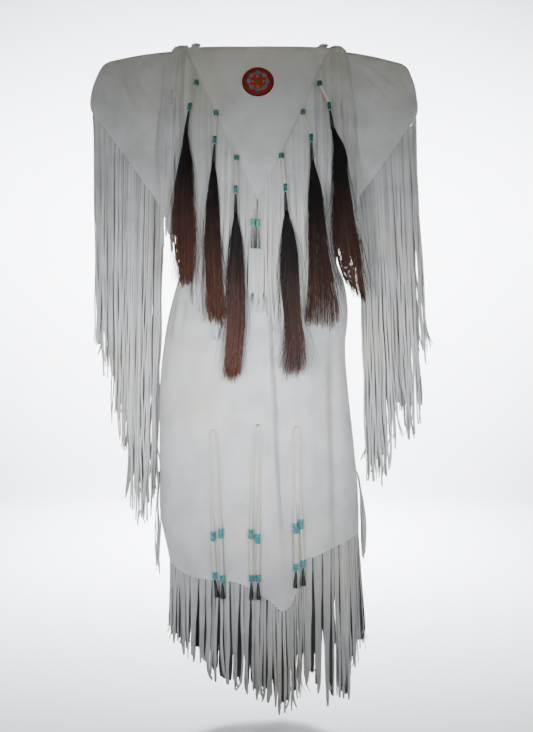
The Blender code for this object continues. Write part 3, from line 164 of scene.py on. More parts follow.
SLEEVE_CREASES = columns("top_x top_z low_x low_z half_width lift", (
    (0.196, -0.030, 0.292, -0.105, 0.0090, 0.0032),
    (0.205, -0.048, 0.280, -0.128, 0.0070, -0.0026),
    (0.266, -0.072, 0.226, -0.132, 0.0080, 0.0026),
    (0.214, -0.128, 0.250, -0.210, 0.0080, -0.0024),
    (0.198, -0.150, 0.214, -0.260, 0.0070, 0.0026),
    (0.300, -0.070, 0.318, -0.120, 0.0070, -0.0020),
    (-0.243, -0.014, -0.268, -0.036, 0.0070, 0.0030),
    (-0.250, -0.060, -0.200, -0.150, 0.0090, -0.0026),
    (-0.290, -0.060, -0.235, -0.170, 0.0080, 0.0024),
    (-0.200, -0.140, -0.212, -0.250, 0.0070, 0.0026),
    (-0.315, -0.080, -0.300, -0.140, 0.0070, -0.0020),
))

CUFF = columns("along left_x left_z right_x right_z depth", (
    (0.00, 0.310, -0.0235, 0.302, -0.0285, 0.000),
    (0.08, 0.321, -0.038, 0.311, -0.044, 0.019),
    (0.18, 0.333, -0.068, 0.320, -0.074, 0.034),
    (0.30, 0.342, -0.104, 0.326, -0.108, 0.043),
    (0.42, 0.341, -0.141, 0.327, -0.147, 0.047),
    (0.55, 0.313, -0.178, 0.301, -0.188, 0.049),
    (0.70, 0.272, -0.234, 0.266, -0.238, 0.045),
    (0.85, 0.232, -0.290, 0.230, -0.286, 0.030),
    (1.00, 0.197, -0.337, 0.197, -0.330, 0.010),
))
RIDGE_RISE = 0.0035
CUFF_CORNER = 0.44          # the fringe starts this far along the cuff, at its outer corner
SLEEVE_TIPS = columns("along left right", (
    (0.00, -0.600, -0.620), (0.12, -0.640, -0.690), (0.20, -0.668, -0.800), (0.28, -0.700, -0.806),
    (0.36, -0.795, -0.780), (0.50, -0.825, -0.742), (0.56, -0.865, -0.822), (0.63, -0.945, -0.866),
    (0.82, -0.984, -0.900), (1.00, -0.890, -0.890),
))
SLEEVE_TIP_SPAN = {"left": (0.333, 0.2125), "right": (0.351, 0.2275)}
SLEEVE_SWING = {"left": (0.5, 1.0), "right": (1.5, 0.5)}

YOKE = columns("drop half_width", (
    (0.000, 0.150), (0.020, 0.146), (0.090, 0.114), (0.160, 0.086), (0.254, 0.0435),
    (0.3154, 0.012), (0.334, 0.003),
))
YOKE_LIFT = 0.0014
YOKE_WALL = 0.0016
YOKE_FRINGE = (0.010, 0.331)        # the fringe's first and last root, down the yoke's edge
SEAM_GAP = 0.0003                   # each of front and back keeps this far from the other
SHOULDER_LEAN = 0.13                # how far a wall on the shoulder's top leans outward, as a slope
YOKE_TIPS = columns("along height", (
    (0.00, -0.470), (0.30, -0.545), (0.60, -0.585), (0.85, -0.560), (1.00, -0.520),
))
SHOULDER_SPAN = (0.1500, 0.198)
SHOULDER_TIPS = {"left": -0.385, "right": -0.410}
SIDE_ROOT_HEIGHT = -0.885
SIDE_HALF_SPAN = 0.018
SIDE_TIPS = {"left": -1.078, "right": -1.038}
SIDE_LEAN = {"left": 0.004, "right": 0.011}

# The chest drops: the upper bead's place across and its height, and how much higher the hair ends on
# the left of its lock
CHEST_DROPS = {
    "left_outer": (-0.1215, -0.0978, 0.0),
    "left_middle": (-0.0819, -0.1630, 0.0),
    "left_inner": (-0.0404, -0.2561, 0.0),
    "right_inner": (0.0467, -0.2521, 0.0),
    "right_middle": (0.0902, -0.1611, 0.0),
    "right_outer": (0.1238, -0.0998, 0.030),
}
# Outlines of the six locks of horsehair: how far below the shoulder, and where each side of it lies
LOCKS = {
    "left_outer": columns("drop left right", (
        (0.192, -0.1445, -0.1405), (0.224, -0.147, -0.137), (0.274, -0.156, -0.130),
        (0.343, -0.166, -0.129), (0.397, -0.167, -0.124), (0.452, -0.162, -0.126),
        (0.502, -0.160, -0.126),
    )),
    "left_middle": columns("drop left right", (
        (0.266, -0.0875, -0.0840), (0.303, -0.0935, -0.0800), (0.343, -0.0970, -0.0770),
        (0.423, -0.1025, -0.0735), (0.496, -0.0995, -0.0695), (0.576, -0.0985, -0.0640),
    )),
    "left_inner": columns("drop left right", (
        (0.368, -0.0440, -0.0400), (0.423, -0.0510, -0.0305), (0.472, -0.0540, -0.0270),
        (0.522, -0.0550, -0.0245), (0.572, -0.0570, -0.0240), (0.622, -0.0610, -0.0280),
        (0.688, -0.0690, -0.0330),
    )),
    "right_inner": columns("drop left right", (
        (0.361, 0.0550, 0.0590), (0.423, 0.0485, 0.0750), (0.472, 0.0465, 0.0800),
        (0.522, 0.0495, 0.0825), (0.572, 0.0545, 0.0850), (0.622, 0.0530, 0.0930),
        (0.682, 0.0400, 0.0980),
    )),
    "right_middle": columns("drop left right", (
        (0.259, 0.1060, 0.1100), (0.323, 0.1030, 0.1260), (0.373, 0.1020, 0.1310),
        (0.423, 0.1020, 0.1370), (0.472, 0.1030, 0.1460), (0.522, 0.0990, 0.1565),
        (0.584, 0.0920, 0.1645),
    )),
    "right_outer": columns("drop left right", (
        (0.191, 0.1475, 0.1520), (0.224, 0.1535, 0.1705), (0.274, 0.1535, 0.1770),
        (0.323, 0.1530, 0.1850), (0.373, 0.1520, 0.1920), (0.423, 0.1530, 0.2030),
        (0.472, 0.1640, 0.2080), (0.538, 0.1950, 0.2160),
    )),
}
# The centre drops: the beads' place across and height, and the shift aside and along y of all of it
CENTRE_DROPS = {"left": (-0.0100, -0.3840, 0.0016, 0.0), "right": (0.0042, -0.3840, -0.0030, -0.0125)}
# Both legs of each skirt lace: places across and heights of its bridge, its upper and lower beads
SKIRT_LACES = {
    "left": ((-0.0925, -0.7880, -0.0866, -0.9961, -0.0835, -1.0734),
             (-0.0800, -0.7880, -0.0712, -0.9900, -0.0680, -1.0783)),
    "middle": ((-0.0050, -0.7770, -0.0123, -0.9893, -0.0112, -1.0744),
               (0.0070, -0.7770, 0.0014, -0.9980, 0.0016, -1.0744)),
    "right": ((0.0700, -0.7820, 0.0742, -0.9795, 0.0757, -1.0548),
              (0.0845, -0.7820, 0.0858, -0.9726, 0.0895, -1.0489)),
}
ROSETTE_X = 0.001
ROSETTE_Z = -0.0985
ROSETTE_TILT = 0.975
# Which way each side faces along x, and each face along y
SIDES = {"left": -1, "right": 1}
FACES = {"front": -1.0, "back": 1.0}
SIDEWAYS = np.array((1.0, 0.0, 0.0))
DOWN = np.array((0.0, 0.0, -1.0))
FRONTWARD = np.array((0.0, -1.0, 0.0))


# Colours

def paint(code):
    """A colour written as sRGB hex, as the linear red, green and blue that shaders work in."""
    parts = np.array([int(code[k:k + 2], 16) for k in (1, 3, 5)]) / 255
    linear = np.where(parts <= 0.04045, parts / 12.92, ((parts + 0.055) / 1.055) ** 2.4)
    return tuple(float(part) for part in linear)


# Settings

class HideSettings(bpy.types.PropertyGroup):
    """The hide pieces: thickness, how strongly they crease, and the colours of the nap."""
    wall: bpy.props.FloatProperty(
        name="Thickness", description="Thickness of the body and sleeve hides",
        default=0.002, min=0.001, max=0.003, unit="LENGTH")
    crease: bpy.props.FloatProperty(
        name="Creasing", description="How strongly the small creases show, as a factor",
        default=1.0, min=0.0, max=2.0, subtype="FACTOR")
    light: bpy.props.FloatVectorProperty(
        name="Nap, light", description="Colour of the nap where it stands",
        default=paint("#DADAD6"), size=3, min=0.0, max=1.0, subtype="COLOR")
    dark: bpy.props.FloatVectorProperty(
        name="Nap, rubbed", description="Colour of the nap where it is rubbed down",
        default=paint("#C9C9C4"), size=3, min=0.0, max=1.0, subtype="COLOR")
    cream: bpy.props.FloatVectorProperty(
        name="Cream tinge", description="Warm tinge where smoke and handling have coloured the hide",
        default=paint("#E2D9C2"), size=3, min=0.0, max=1.0, subtype="COLOR")


class FringeSettings(bpy.types.PropertyGroup):
    """The cut fringe: strand counts, sizes and how unruly it hangs."""
    hem: bpy.props.IntProperty(
        name="Hem strands", description="Strands along each of the front and back hems",
        default=84, min=20, max=160)
    sleeve: bpy.props.IntProperty(
        name="Sleeve strands", description="Strands in each layer of a sleeve's cuff, front and back",
        default=34, min=20, max=120)
    yoke: bpy.props.IntProperty(
        name="Yoke strands", description="Strands along each edge of the yoke",
        default=54, min=20, max=100)
    shoulder: bpy.props.IntProperty(
        name="Shoulder strands", description="Thongs gathered on each shoulder",
        default=18, min=6, max=40)
    thickness: bpy.props.FloatProperty(
        name="Strand thickness", description="Thickness of the hide that the strands are cut from",
        default=0.0013, min=0.0006, max=0.002, unit="LENGTH")
    unruly: bpy.props.FloatProperty(
        name="Unruliness", description="How much the strands wave, twist and curl, as a factor",
        default=1.0, min=0.0, max=2.0, subtype="FACTOR")


class DropSettings(bpy.types.PropertyGroup):
    """Beads, cones and horsehair."""
    hairs: bpy.props.IntProperty(
        name="Hairs", description="Hairs in each lock of horsehair", default=450, min=50, max=500)
    hair_width: bpy.props.FloatProperty(
        name="Hair width", description="Width of one hair, drawn coarser than real so that it shows",
        default=0.0007, min=0.0002, max=0.001, unit="LENGTH")
    bead_radius: bpy.props.FloatProperty(
        name="Bead radius", description="Radius of the turquoise beads on the skirt laces",
        default=0.0049, min=0.003, max=0.007, unit="LENGTH")
    bead: bpy.props.FloatVectorProperty(
        name="Bead colour", description="Colour of the turquoise glass",
        default=paint("#3A9195"), size=3, min=0.0, max=1.0, subtype="COLOR")
    hair_root: bpy.props.FloatVectorProperty(
        name="Hair at the cone", description="Colour of the horsehair at its root",
        default=paint("#1B1310"), size=3, min=0.0, max=1.0, subtype="COLOR")
    hair_tip: bpy.props.FloatVectorProperty(
        name="Hair at the tip", description="Colour of the horsehair at its ends",
        default=paint("#68402E"), size=3, min=0.0, max=1.0, subtype="COLOR")


class RosetteSettings(bpy.types.PropertyGroup):
    """The beaded rosette."""
    radius: bpy.props.FloatProperty(
        name="Radius", description="Radius of the rosette", default=0.0315, min=0.02, max=0.05,
        unit="LENGTH")
    bead: bpy.props.FloatProperty(
        name="Seed bead", description="Diameter of one seed bead", default=0.0020, min=0.0012,
        max=0.003, unit="LENGTH")


class StageSettings(bpy.types.PropertyGroup):
    """Camera, floor and studio lights."""
    distance: bpy.props.FloatProperty(
        name="Camera distance", description="Distance of the camera in front of the dress",
        default=1.9, min=1.0, max=4.0, unit="LENGTH")
    key: bpy.props.FloatProperty(
        name="Left light", description="Power of the light in front on the left, level with the skirt",
        default=1.62, min=0.0, max=400.0, unit="POWER")
    side: bpy.props.FloatProperty(
        name="Right light", description="Power of the light in front on the right, and of the high one",
        default=1.25, min=0.0, max=400.0, unit="POWER")
    backdrop: bpy.props.FloatProperty(
        name="Backdrop light", description="Power of each light on the pale backdrop",
        default=400.0, min=0.0, max=800.0, unit="POWER")
    surround: bpy.props.FloatProperty(
        name="Surround", description="Strength of the even light from all round",
        default=0.03, min=0.0, max=2.0, subtype="FACTOR")
    floor: bpy.props.FloatVectorProperty(
        name="Floor colour", description="Colour of the pale floor and backdrop",
        default=paint("#C6C6C5"), size=3, min=0.0, max=1.0, subtype="COLOR")


SETTINGS = {
    "dress_hide": HideSettings,
    "dress_fringe": FringeSettings,
    "dress_drops": DropSettings,
    "dress_rosette": RosetteSettings,
    "dress_stage": StageSettings,
}


# Curves and directions

def smooth(at, table, name):
    """Read a column at places in the first one: a cubic through the rows, with the rows' own slopes."""
    knots, values = next(iter(table.values())), table[name]
    slopes = np.gradient(values, knots)
    at = np.clip(at, knots[0], knots[-1])
    cell = np.clip(np.searchsorted(knots, at) - 1, 0, len(knots) - 2)
    span = knots[cell + 1] - knots[cell]
    t = (at - knots[cell]) / span
    rise = (2 * t**3 - 3 * t**2 + 1) * values[cell] + (3 * t**2 - 2 * t**3) * values[cell + 1]
    bend = (t**3 - 2 * t**2 + t) * slopes[cell] + (t**3 - t**2) * slopes[cell + 1]
    return rise + bend * span


def unit(vectors):
    """Vectors divided by their length."""
    return vectors / np.maximum(np.linalg.norm(vectors, axis=-1, keepdims=True), 1e-12)


def step(x):
    """3x squared less 2x cubed between 0 and 1, and flat beyond."""
    x = np.clip(x, 0.0, 1.0)
    return x * x * (3 - 2 * x)


def spread_along(line, places):
    """Points at shares of a line's length, by straight runs between its own points."""
    gone = np.concatenate([[0.0], np.cumsum(np.linalg.norm(np.diff(line, axis=0), axis=1))])
    return np.stack([np.interp(places * gone[-1], gone, line[:, k]) for k in range(3)], axis=-1)


def evenly(count, aside=0.0):
    """Shares of a line at the middles of equal parts, each moved aside by a share of its part."""
    return (np.arange(count) + 0.5 + aside) / count


def between(span, share):
    """Values on the straight way from a span's first to its last."""
    return span[0] + (span[1] - span[0]) * share


# The body's surface

def half_width(drop):
    """Half the body's width at each distance below the shoulder."""
    return smooth(drop, SECTIONS, "half_width")


def middle_shift(drop):
    """How far the body's middle is off to one side at each distance below the shoulder."""
    return smooth(drop, SECTIONS, "shift")


def turn(drop):
    """How far round the section turns from its middle to its edge, in radians."""
    return np.radians(np.minimum(smooth(drop, SECTIONS, "turn"), 90.0))


def neck_depth(face, x):
    """Half an ellipse across the neck: depth times the root of one less the square of x's share."""
    mid = smooth(0.0, SECTIONS, face + "_mid")
    return mid * np.sqrt(np.maximum(0.0, 1 - (x / NECK_HALF_WIDTH) ** 2))


def top_height(face, x):
    """Height of the top edge: it dips with the front neck's depth and slopes off outward."""
    mid = smooth(0.0, SECTIONS, face + "_mid")
    dip = FRONT_NECK_DIP * neck_depth(face, x) / mid if face == "front" else 0.0
    return NECK_RISE - dip - SHOULDER_SLOPE * np.maximum(0.0, np.abs(x) - NECK_HALF_WIDTH)


def height(face, x, drop):
    """Height in a row: less its drop, plus the top's height fading out, plus the hem's fading in."""
    top = top_height(face, x) * np.maximum(0.0, 1 - drop / SHOULDER_ZONE)
    across = (x - middle_shift(HEM_DROP)) / half_width(HEM_DROP)
    fall = smooth(across, HEMS[face], "height") + HEM_DROP
    share = np.maximum(0.0, (drop - HEM_START) / (HEM_DROP - HEM_START)) ** 1.5
    return top - drop + fall * share


def drop_at(face, x, z):
    """Distance below the shoulder that a height stands for, with the neck's dip taken out."""
    top = top_height(face, x)
    near = (top - z) / (1 + top / SHOULDER_ZONE)
    return np.where(z > -SHOULDER_ZONE, np.maximum(near, 0.0), -z)


def ridges(table, x, z, ends):
    """Sum of bells across straight lines: each is its lift times e to minus the squared distance over
    its width, fading in from its top and, where it ends, out toward its bottom."""
    lift = 0.0
    for k in range(len(table["lift"])):
        row = {name: values[k] for name, values in table.items()}
        along = (row["top_z"] - z) / (row["top_z"] - row["low_z"])
        line = row["top_x"] + (row["low_x"] - row["top_x"]) * along
        bell = np.exp(-((x - line) / row["half_width"]) ** 2)
        fade = step(along * 2.0) if not ends else step(along * 3.0) * step((1 - along) * 3.0)
        lift = lift + row["lift"] * bell * fade
    return lift


def depth(face, x, z):
    """How far the front or back stands out: its edge's depth plus the bulge of a circular arc."""
    drop = drop_at(face, x, z)
    bend = turn(drop)
    mid = smooth(drop, SECTIONS, face + "_mid")
    edge = np.maximum(smooth(drop, SECTIONS, face + "_edge"), 0.0)
    across = np.clip(np.abs(x - middle_shift(drop)) / half_width(drop), 0.0, 1.0)
    angle = np.arcsin(across * np.sin(bend))
    out = edge + (mid - edge) * (np.cos(angle) - np.cos(bend)) / (1 - np.cos(bend))
    neck_share = np.clip(1 - drop / SECTIONS["drop"][1], 0.0, 1.0)
    out = out * (1 - neck_share) + neck_depth(face, x) * neck_share
    near_side = 1 - np.clip(np.abs(x - middle_shift(-z)) / half_width(-z), 0.0, 1.0) ** 8
    return out + ridges(FOLDS[face], x, z, False) * near_side


def on_body(face, x, z):
    """Points on the outside of the front or back."""
    return np.stack([x + 0 * z, FACES[face] * depth(face, x, z), z + 0 * x], axis=-1)


def out_at(x, z):
    """Directions away from the chest: the cross product of its slopes across and up."""
    reach = 0.002
    right = on_body("front", x + reach, z) - on_body("front", x - reach, z)
    up = on_body("front", x, z + reach) - on_body("front", x, z - reach)
    return unit(np.cross(right, up))


def panel_rows(face, drops, across):
    """A grid on the front or back: rows down the drops, columns at shares of the half section."""
    drop, share = drops[:, None], across[None, :]
    spread = np.sin(share * turn(drop)) / np.sin(turn(drop))
    x = middle_shift(drop) + half_width(drop) * spread
    z = height(face, x, drop)
    low = middle_shift(-z) + half_width(-z) * spread
    x = np.where(drop > HEM_START, low, x)
    return on_body(face, x, z)


def grid_normals(grid):
    """Cross product of the directions down and across a grid."""
    return unit(np.cross(np.gradient(grid, axis=0), np.gradient(grid, axis=1)))


# Meshes from arrays

def put_mesh(name, points, quads, tris=None, values=None, sharp=40.0):
    """One object from arrays of points, four-cornered and three-cornered faces. Its faces are turned
    out by the sign of the volume they enclose. Each of values becomes an attribute, with a number for
    every point or fewer that repeat along the points' array."""
    shape = np.shape(points)[:-1]
    points = np.asarray(points, dtype=float).reshape(-1, 3)
    quads = np.asarray(quads, dtype=int).reshape(-1, 4)
    tris = np.zeros((0, 3), dtype=int) if tris is None else np.asarray(tris, dtype=int).reshape(-1, 3)
    halves = np.concatenate([quads[:, (0, 1, 2)], quads[:, (0, 2, 3)], tris])
    a, b, c = (points[halves[:, k]] for k in range(3))
    if np.sum(a * np.cross(b, c)) < 0:
        quads, tris = quads[:, ::-1], tris[:, ::-1]
    mesh = bpy.data.meshes.new(name)
    mesh.vertices.add(len(points))
    mesh.vertices.foreach_set("co", points.astype(np.float32).ravel())
    loops = np.concatenate([quads.ravel(), tris.ravel()]).astype(np.int32)
    mesh.loops.add(len(loops))
    mesh.loops.foreach_set("vertex_index", loops)
    starts = np.concatenate([np.arange(len(quads)) * 4, len(quads) * 4 + np.arange(len(tris)) * 3])
    mesh.polygons.add(len(starts))
    mesh.polygons.foreach_set("loop_start", starts.astype(np.int32))
    mesh.update(calc_edges=True)
    mesh.validate()
    mesh.shade_smooth()
    mesh.set_sharp_from_angle(angle=math.radians(sharp))
    for key, value in (values or {}).items():
        made = mesh.attributes.new(key, "FLOAT", "POINT")
        made.data.foreach_set("value", np.broadcast_to(value, shape).astype(np.float32).ravel())
    piece = bpy.data.objects.new(name, mesh)
    bpy.context.scene.collection.objects.link(piece)
    return piece


def tube_faces(count, rings, corners):
    """Faces of many tubes at once: quads between rings of corners, and a fan over each end."""
    first = (np.arange(count) * rings * corners)[:, None, None]
    ring = (np.arange(rings - 1) * corners)[None, :, None]
    corner = np.arange(corners)[None, None, :]
    a = first + ring + corner
    b = first + ring + (corner + 1) % corners
    quads = np.stack([a, b, b + corners, a + corners], axis=-1).reshape(-1, 4)
    fan = np.stack([np.zeros(corners - 2, dtype=int), np.arange(2, corners), np.arange(1, corners - 1)], -1)
    last = first + (rings - 1) * corners
    tris = np.concatenate([(first + fan).reshape(-1, 3), (last + fan[:, ::-1]).reshape(-1, 3)])
    return quads, tris


def shell(name, outer, normals, wall):
    """A wall of hide: a grid outside, its copy moved in by the wall, and a rim along the edges."""
    rows, cols = outer.shape[:2]
    inner = outer - normals * wall
    index = np.arange(rows * cols).reshape(rows, cols)
    a, b, c, d = index[:-1, :-1], index[1:, :-1], index[1:, 1:], index[:-1, 1:]
    front = np.stack([a, b, c, d], axis=-1).reshape(-1, 4)
    border = np.concatenate([index[0, :-1], index[:-1, -1], index[-1, :0:-1], index[:0:-1, 0]])
    following = np.roll(border, -1)
    behind = rows * cols
    rim = np.stack([border, following, following + behind, border + behind], axis=-1)
    quads = np.concatenate([front, front[:, ::-1] + behind, rim])
    points = np.concatenate([outer.reshape(-1, 3), inner.reshape(-1, 3)])
    return put_mesh(name, points, quads)


def ribbons(name, paths, across, widths, thickness, twist, chance, inner=0.0):
    """Flat strands along paths: at each point a rectangle, its long side along across turned by the
    twist about the path. Attributes: strand, one chance number for each; run, 0 root to 1 tip; and
    inner, how far painted shade darkens it, 0 for outer strands to 1 for those in a layer behind them."""
    count, rings = paths.shape[:2]
    along = unit(np.gradient(paths, axis=1))
    side = np.broadcast_to(across.reshape(-1, 1, 3), paths.shape)
    side = unit(side - along * np.sum(side * along, axis=-1, keepdims=True))
    front = np.cross(along, side)
    cos, sin = np.cos(twist)[..., None], np.sin(twist)[..., None]
    wide = (side * cos + front * sin) * np.asarray(widths)[..., None] / 2
    deep = (front * cos - side * sin) * np.broadcast_to(thickness, widths.shape)[..., None] / 2
    corners = np.stack([-wide + deep, wide + deep, wide - deep, -wide - deep], axis=2)
    points = paths[:, :, None] + corners
    values = {"strand": chance.uniform(0, 1, (count, 1, 1)), "run": np.linspace(0, 1, rings)[:, None],
              "inner": np.broadcast_to(inner, count)[:, None, None]}
    return put_mesh(name, points, *tube_faces(count, rings, 4), values)


def circles(along, corners):
    """Unit circles across directions: one side of each times the cosine, plus the other times the
    sine."""
    helper = np.where(np.abs(along[..., 1:2]) < 0.9, FRONTWARD, DOWN)
    side = unit(np.cross(along, helper))
    front = np.cross(along, side)
    angle = (np.arange(corners) * 2 * np.pi / corners)[:, None]
    return side[..., None, :] * np.cos(angle) + front[..., None, :] * np.sin(angle)


def round_tubes(name, paths, radii, corners, values, sharp=60.0):
    """Round tubes along paths: at each point a circle across the path, its radius from radii."""
    count, rings = paths.shape[:2]
    ring = circles(unit(np.gradient(paths, axis=1)), corners)
    points = paths[:, :, None] + ring * np.asarray(radii)[..., None, None]
    return put_mesh(name, points, *tube_faces(count, rings, corners), values, sharp)


def turned(name, middles, axes, profile, corners):
    """Turned forms at several places: a closed profile of distance along and radius, spun about
    each place's axis."""
    middles, axes = np.atleast_2d(middles), unit(np.atleast_2d(axes))
    way = circles(axes, corners)
    along, radius = profile.T
    rings = len(along)
    points = (middles[:, None, None] + axes[:, None, None] * along[None, :, None, None]
              + way[:, None] * radius[None, :, None, None])
    first = (np.arange(len(middles)) * rings * corners)[:, None, None]
    ring = np.arange(rings)[None, :, None]
    corner = np.arange(corners)[None, None, :]
    a = first + ring * corners + corner
    b = first + ring * corners + (corner + 1) % corners
    c = first + (ring + 1) % rings * corners + (corner + 1) % corners
    d = first + (ring + 1) % rings * corners + corner
    return put_mesh(name, points, np.stack([a, b, c, d], axis=-1), sharp=50.0)


# Where hanging things lie

RELIEF_X = np.arange(-0.375, 0.3751, 0.003)
RELIEF_Z = np.arange(-1.160, 0.0201, 0.004)
NOTHING = -1.0              # stands for no surface: further behind than any


def ray_trees(pieces):
    """Search trees of the pieces' faces, for rays."""
    return [BVHTree.FromPolygons([point.co for point in piece.data.vertices],
                                 [face.vertices for face in piece.data.polygons]) for piece in pieces]


def first_met(trees, start, way):
    """How far the nearest surface that a ray meets stands toward where the ray comes from."""
    hits = [tree.ray_cast(start, way)[0] for tree in trees]
    return max([-hit.dot(way) for hit in hits if hit is not None], default=NOTHING)


def relief_of(pieces):
    """How far the pieces stand out in front on a grid of places, found by rays from the front."""
    trees, way = ray_trees(pieces), Vector((0.0, 1.0, 0.0))
    return np.array([[first_met(trees, Vector((x, -1.0, z)), way) for x in RELIEF_X] for z in RELIEF_Z])


def top_of(pieces, x, y):
    """Height of the pieces' uppermost surface at each place, found by rays from above."""
    trees, way = ray_trees(pieces), Vector(DOWN)
    high = [first_met(trees, Vector((px, py, 0.5)), way) for px, py in zip(x.ravel(), y.ravel())]
    return np.reshape(high, x.shape)


def widened(relief, reach):
    """The greatest of a relief's values within a reach to either side."""
    span = int(round(reach / (RELIEF_X[1] - RELIEF_X[0])))
    return np.max([np.roll(relief, shift, axis=1) for shift in range(-span, span + 1)], axis=0)


def stands_out(relief, x, z):
    """The relief between its grid's places: a weighted mean of the four around, or the greatest of
    them where one lies off the pieces."""
    col = np.clip((x - RELIEF_X[0]) / (RELIEF_X[1] - RELIEF_X[0]), 0, len(RELIEF_X) - 1.001)
    row = np.clip((z - RELIEF_Z[0]) / (RELIEF_Z[1] - RELIEF_Z[0]), 0, len(RELIEF_Z) - 1.001)
    c, r = col.astype(int), row.astype(int)
    u, v = col - c, row - r
    four = np.stack([relief[r, c], relief[r, c + 1], relief[r + 1, c], relief[r + 1, c + 1]])
    share = np.stack([(1 - u) * (1 - v), u * (1 - v), (1 - u) * v, u * v])
    return np.where(four.min(axis=0) > NOTHING + 0.1, (four * share).sum(axis=0), four.max(axis=0))


def lie(relief, x, z, start_out, lift):
    """Points of hanging lines, one row each: straight down from where they last touched, so each
    stands out as far as all that it has passed, plus a lift."""
    out = np.maximum(stands_out(relief, x, z) + lift, start_out[:, None])
    out = np.maximum.accumulate(out, axis=1)
    for _ in range(3):
        out[:, 1:-1] = np.maximum(out[:, 1:-1], (out[:, :-2] + out[:, 2:]) / 2)
    return np.stack([x, -out, z], axis=-1)


# Materials

def feed(tree, made, inputs):
    """Set or link a node's inputs by name or number."""
    for name, value in inputs.items():
        if isinstance(value, bpy.types.NodeSocket):
            tree.links.new(value, made.inputs[name])
        else:
            made.inputs[name].default_value = value


def node(tree, kind, inputs=None, **settings):
    """Add a node, set its properties, and set or link its inputs."""
    made = tree.nodes.new(kind)
    for name, value in settings.items():
        setattr(made, name, value)
    feed(tree, made, inputs or {})
    return made


def opaque(colour):
    """A colour with full alpha, as a socket takes it."""
    return (*colour, 1.0)


def finish_of(name):
    """A new material's node tree, its shader and its object coordinates."""
    made = bpy.data.materials.new(name)
    made.use_nodes = True
    tree = made.node_tree
    shader = tree.nodes["Principled BSDF"]
    where = node(tree, "ShaderNodeTexCoord").outputs["Object"]
    return made, tree, shader, where


def buckskin(name, light, dark, cream, strands=False):
    """Brain-tanned deerskin: a matt, felt-like nap with soft mottling and a faint cream tinge."""
    made, tree, shader, where = finish_of(name)
    # Rubbed patches of about 70 mm, and a tinge in areas of about 230 mm. The nap's fibres are some
    # 0.2 mm thick, but are drawn in tufts of 2 mm, over a soft pebble of 9 mm, so that they show.
    mottle = node(tree, "ShaderNodeTexNoise", {"Vector": where, "Scale": 14.0, "Detail": 5.0,
                                                "Roughness": 0.55})
    rubbed = node(tree, "ShaderNodeMapRange", {"Value": mottle.outputs["Fac"], "From Min": 0.40,
                                                "From Max": 0.64})
    base = node(tree, "ShaderNodeMix", {0: rubbed.outputs["Result"], 6: opaque(light), 7: opaque(dark)},
                data_type="RGBA")
    tinge = node(tree, "ShaderNodeTexNoise", {"Vector": where, "Scale": 4.3, "Detail": 3.0})
    share = node(tree, "ShaderNodeMapRange", {"Value": tinge.outputs["Fac"], "From Min": 0.48,
                                               "From Max": 0.72, "To Max": 0.75})
    warm = node(tree, "ShaderNodeMix", {0: share.outputs["Result"], 6: base.outputs[2],
                                         7: opaque(cream)}, data_type="RGBA")
    nap = node(tree, "ShaderNodeTexNoise", {"Vector": where, "Scale": 520.0, "Detail": 4.0,
                                             "Roughness": 0.7})
    grain = node(tree, "ShaderNodeTexNoise", {"Vector": where, "Scale": 110.0, "Detail": 3.0})
    fleck = node(tree, "ShaderNodeMapRange", {"Value": nap.outputs["Fac"], "From Min": 0.25,
                                               "From Max": 0.75, "To Min": 0.93, "To Max": 1.04})
    tone = fleck.outputs["Result"]
    if strands:
        each = node(tree, "ShaderNodeAttribute", attribute_name="strand")
        level = node(tree, "ShaderNodeMapRange", {"Value": each.outputs["Fac"], "To Min": 0.82,
                                                   "To Max": 1.06})
        # Painted shade: strands behind or under others are darkened by their inner value, as if in their
        # shade, and darkest along the hem
        inner = node(tree, "ShaderNodeAttribute", attribute_name="inner")
        painted_shade = node(tree, "ShaderNodeMapRange", {"Value": inner.outputs["Fac"], "To Min": 1.0,
                                                    "To Max": 0.16})
        for value in (level, painted_shade):
            tone = node(tree, "ShaderNodeMath", {0: tone, 1: value.outputs["Result"]},
                        operation="MULTIPLY").outputs[0]
    shade = node(tree, "ShaderNodeVectorMath", {0: warm.outputs[2], "Scale": tone}, operation="SCALE")
    both = node(tree, "ShaderNodeMath", {0: nap.outputs["Fac"], 1: grain.outputs["Fac"]}, operation="ADD")
    bump = node(tree, "ShaderNodeBump", {"Height": both.outputs[0], "Strength": 0.35, "Distance": 0.0009})
    feed(tree, shader, {"Base Color": shade.outputs[0], "Normal": bump.outputs[0], "Roughness": 0.93,
                        "Specular IOR Level": 0.25, "Sheen Weight": 0.04, "Sheen Roughness": 0.5})
    return made


def glass_bead(name, colour):
    """Moulded opaque glass: a smooth, wet-looking surface with faint swirls in the colour."""
    made, tree, shader, where = finish_of(name)
    # Swirls of about 4 mm, less than half a bead's length
    swirl = node(tree, "ShaderNodeTexNoise", {"Vector": where, "Scale": 240.0, "Detail": 3.0,
                                               "Distortion": 1.2})
    ramp = node(tree, "ShaderNodeMapRange", {"Value": swirl.outputs["Fac"], "From Min": 0.35,
                                              "From Max": 0.68})
    pale = tuple(min(1.0, part * 1.25 + 0.02) for part in colour)
    deep = tuple(part * 0.72 for part in colour)
    mix = node(tree, "ShaderNodeMix", {0: ramp.outputs["Result"], 6: opaque(deep), 7: opaque(pale)},
               data_type="RGBA")
    feed(tree, shader, {"Base Color": mix.outputs[2], "Roughness": 0.20, "IOR": 1.52})
    return made


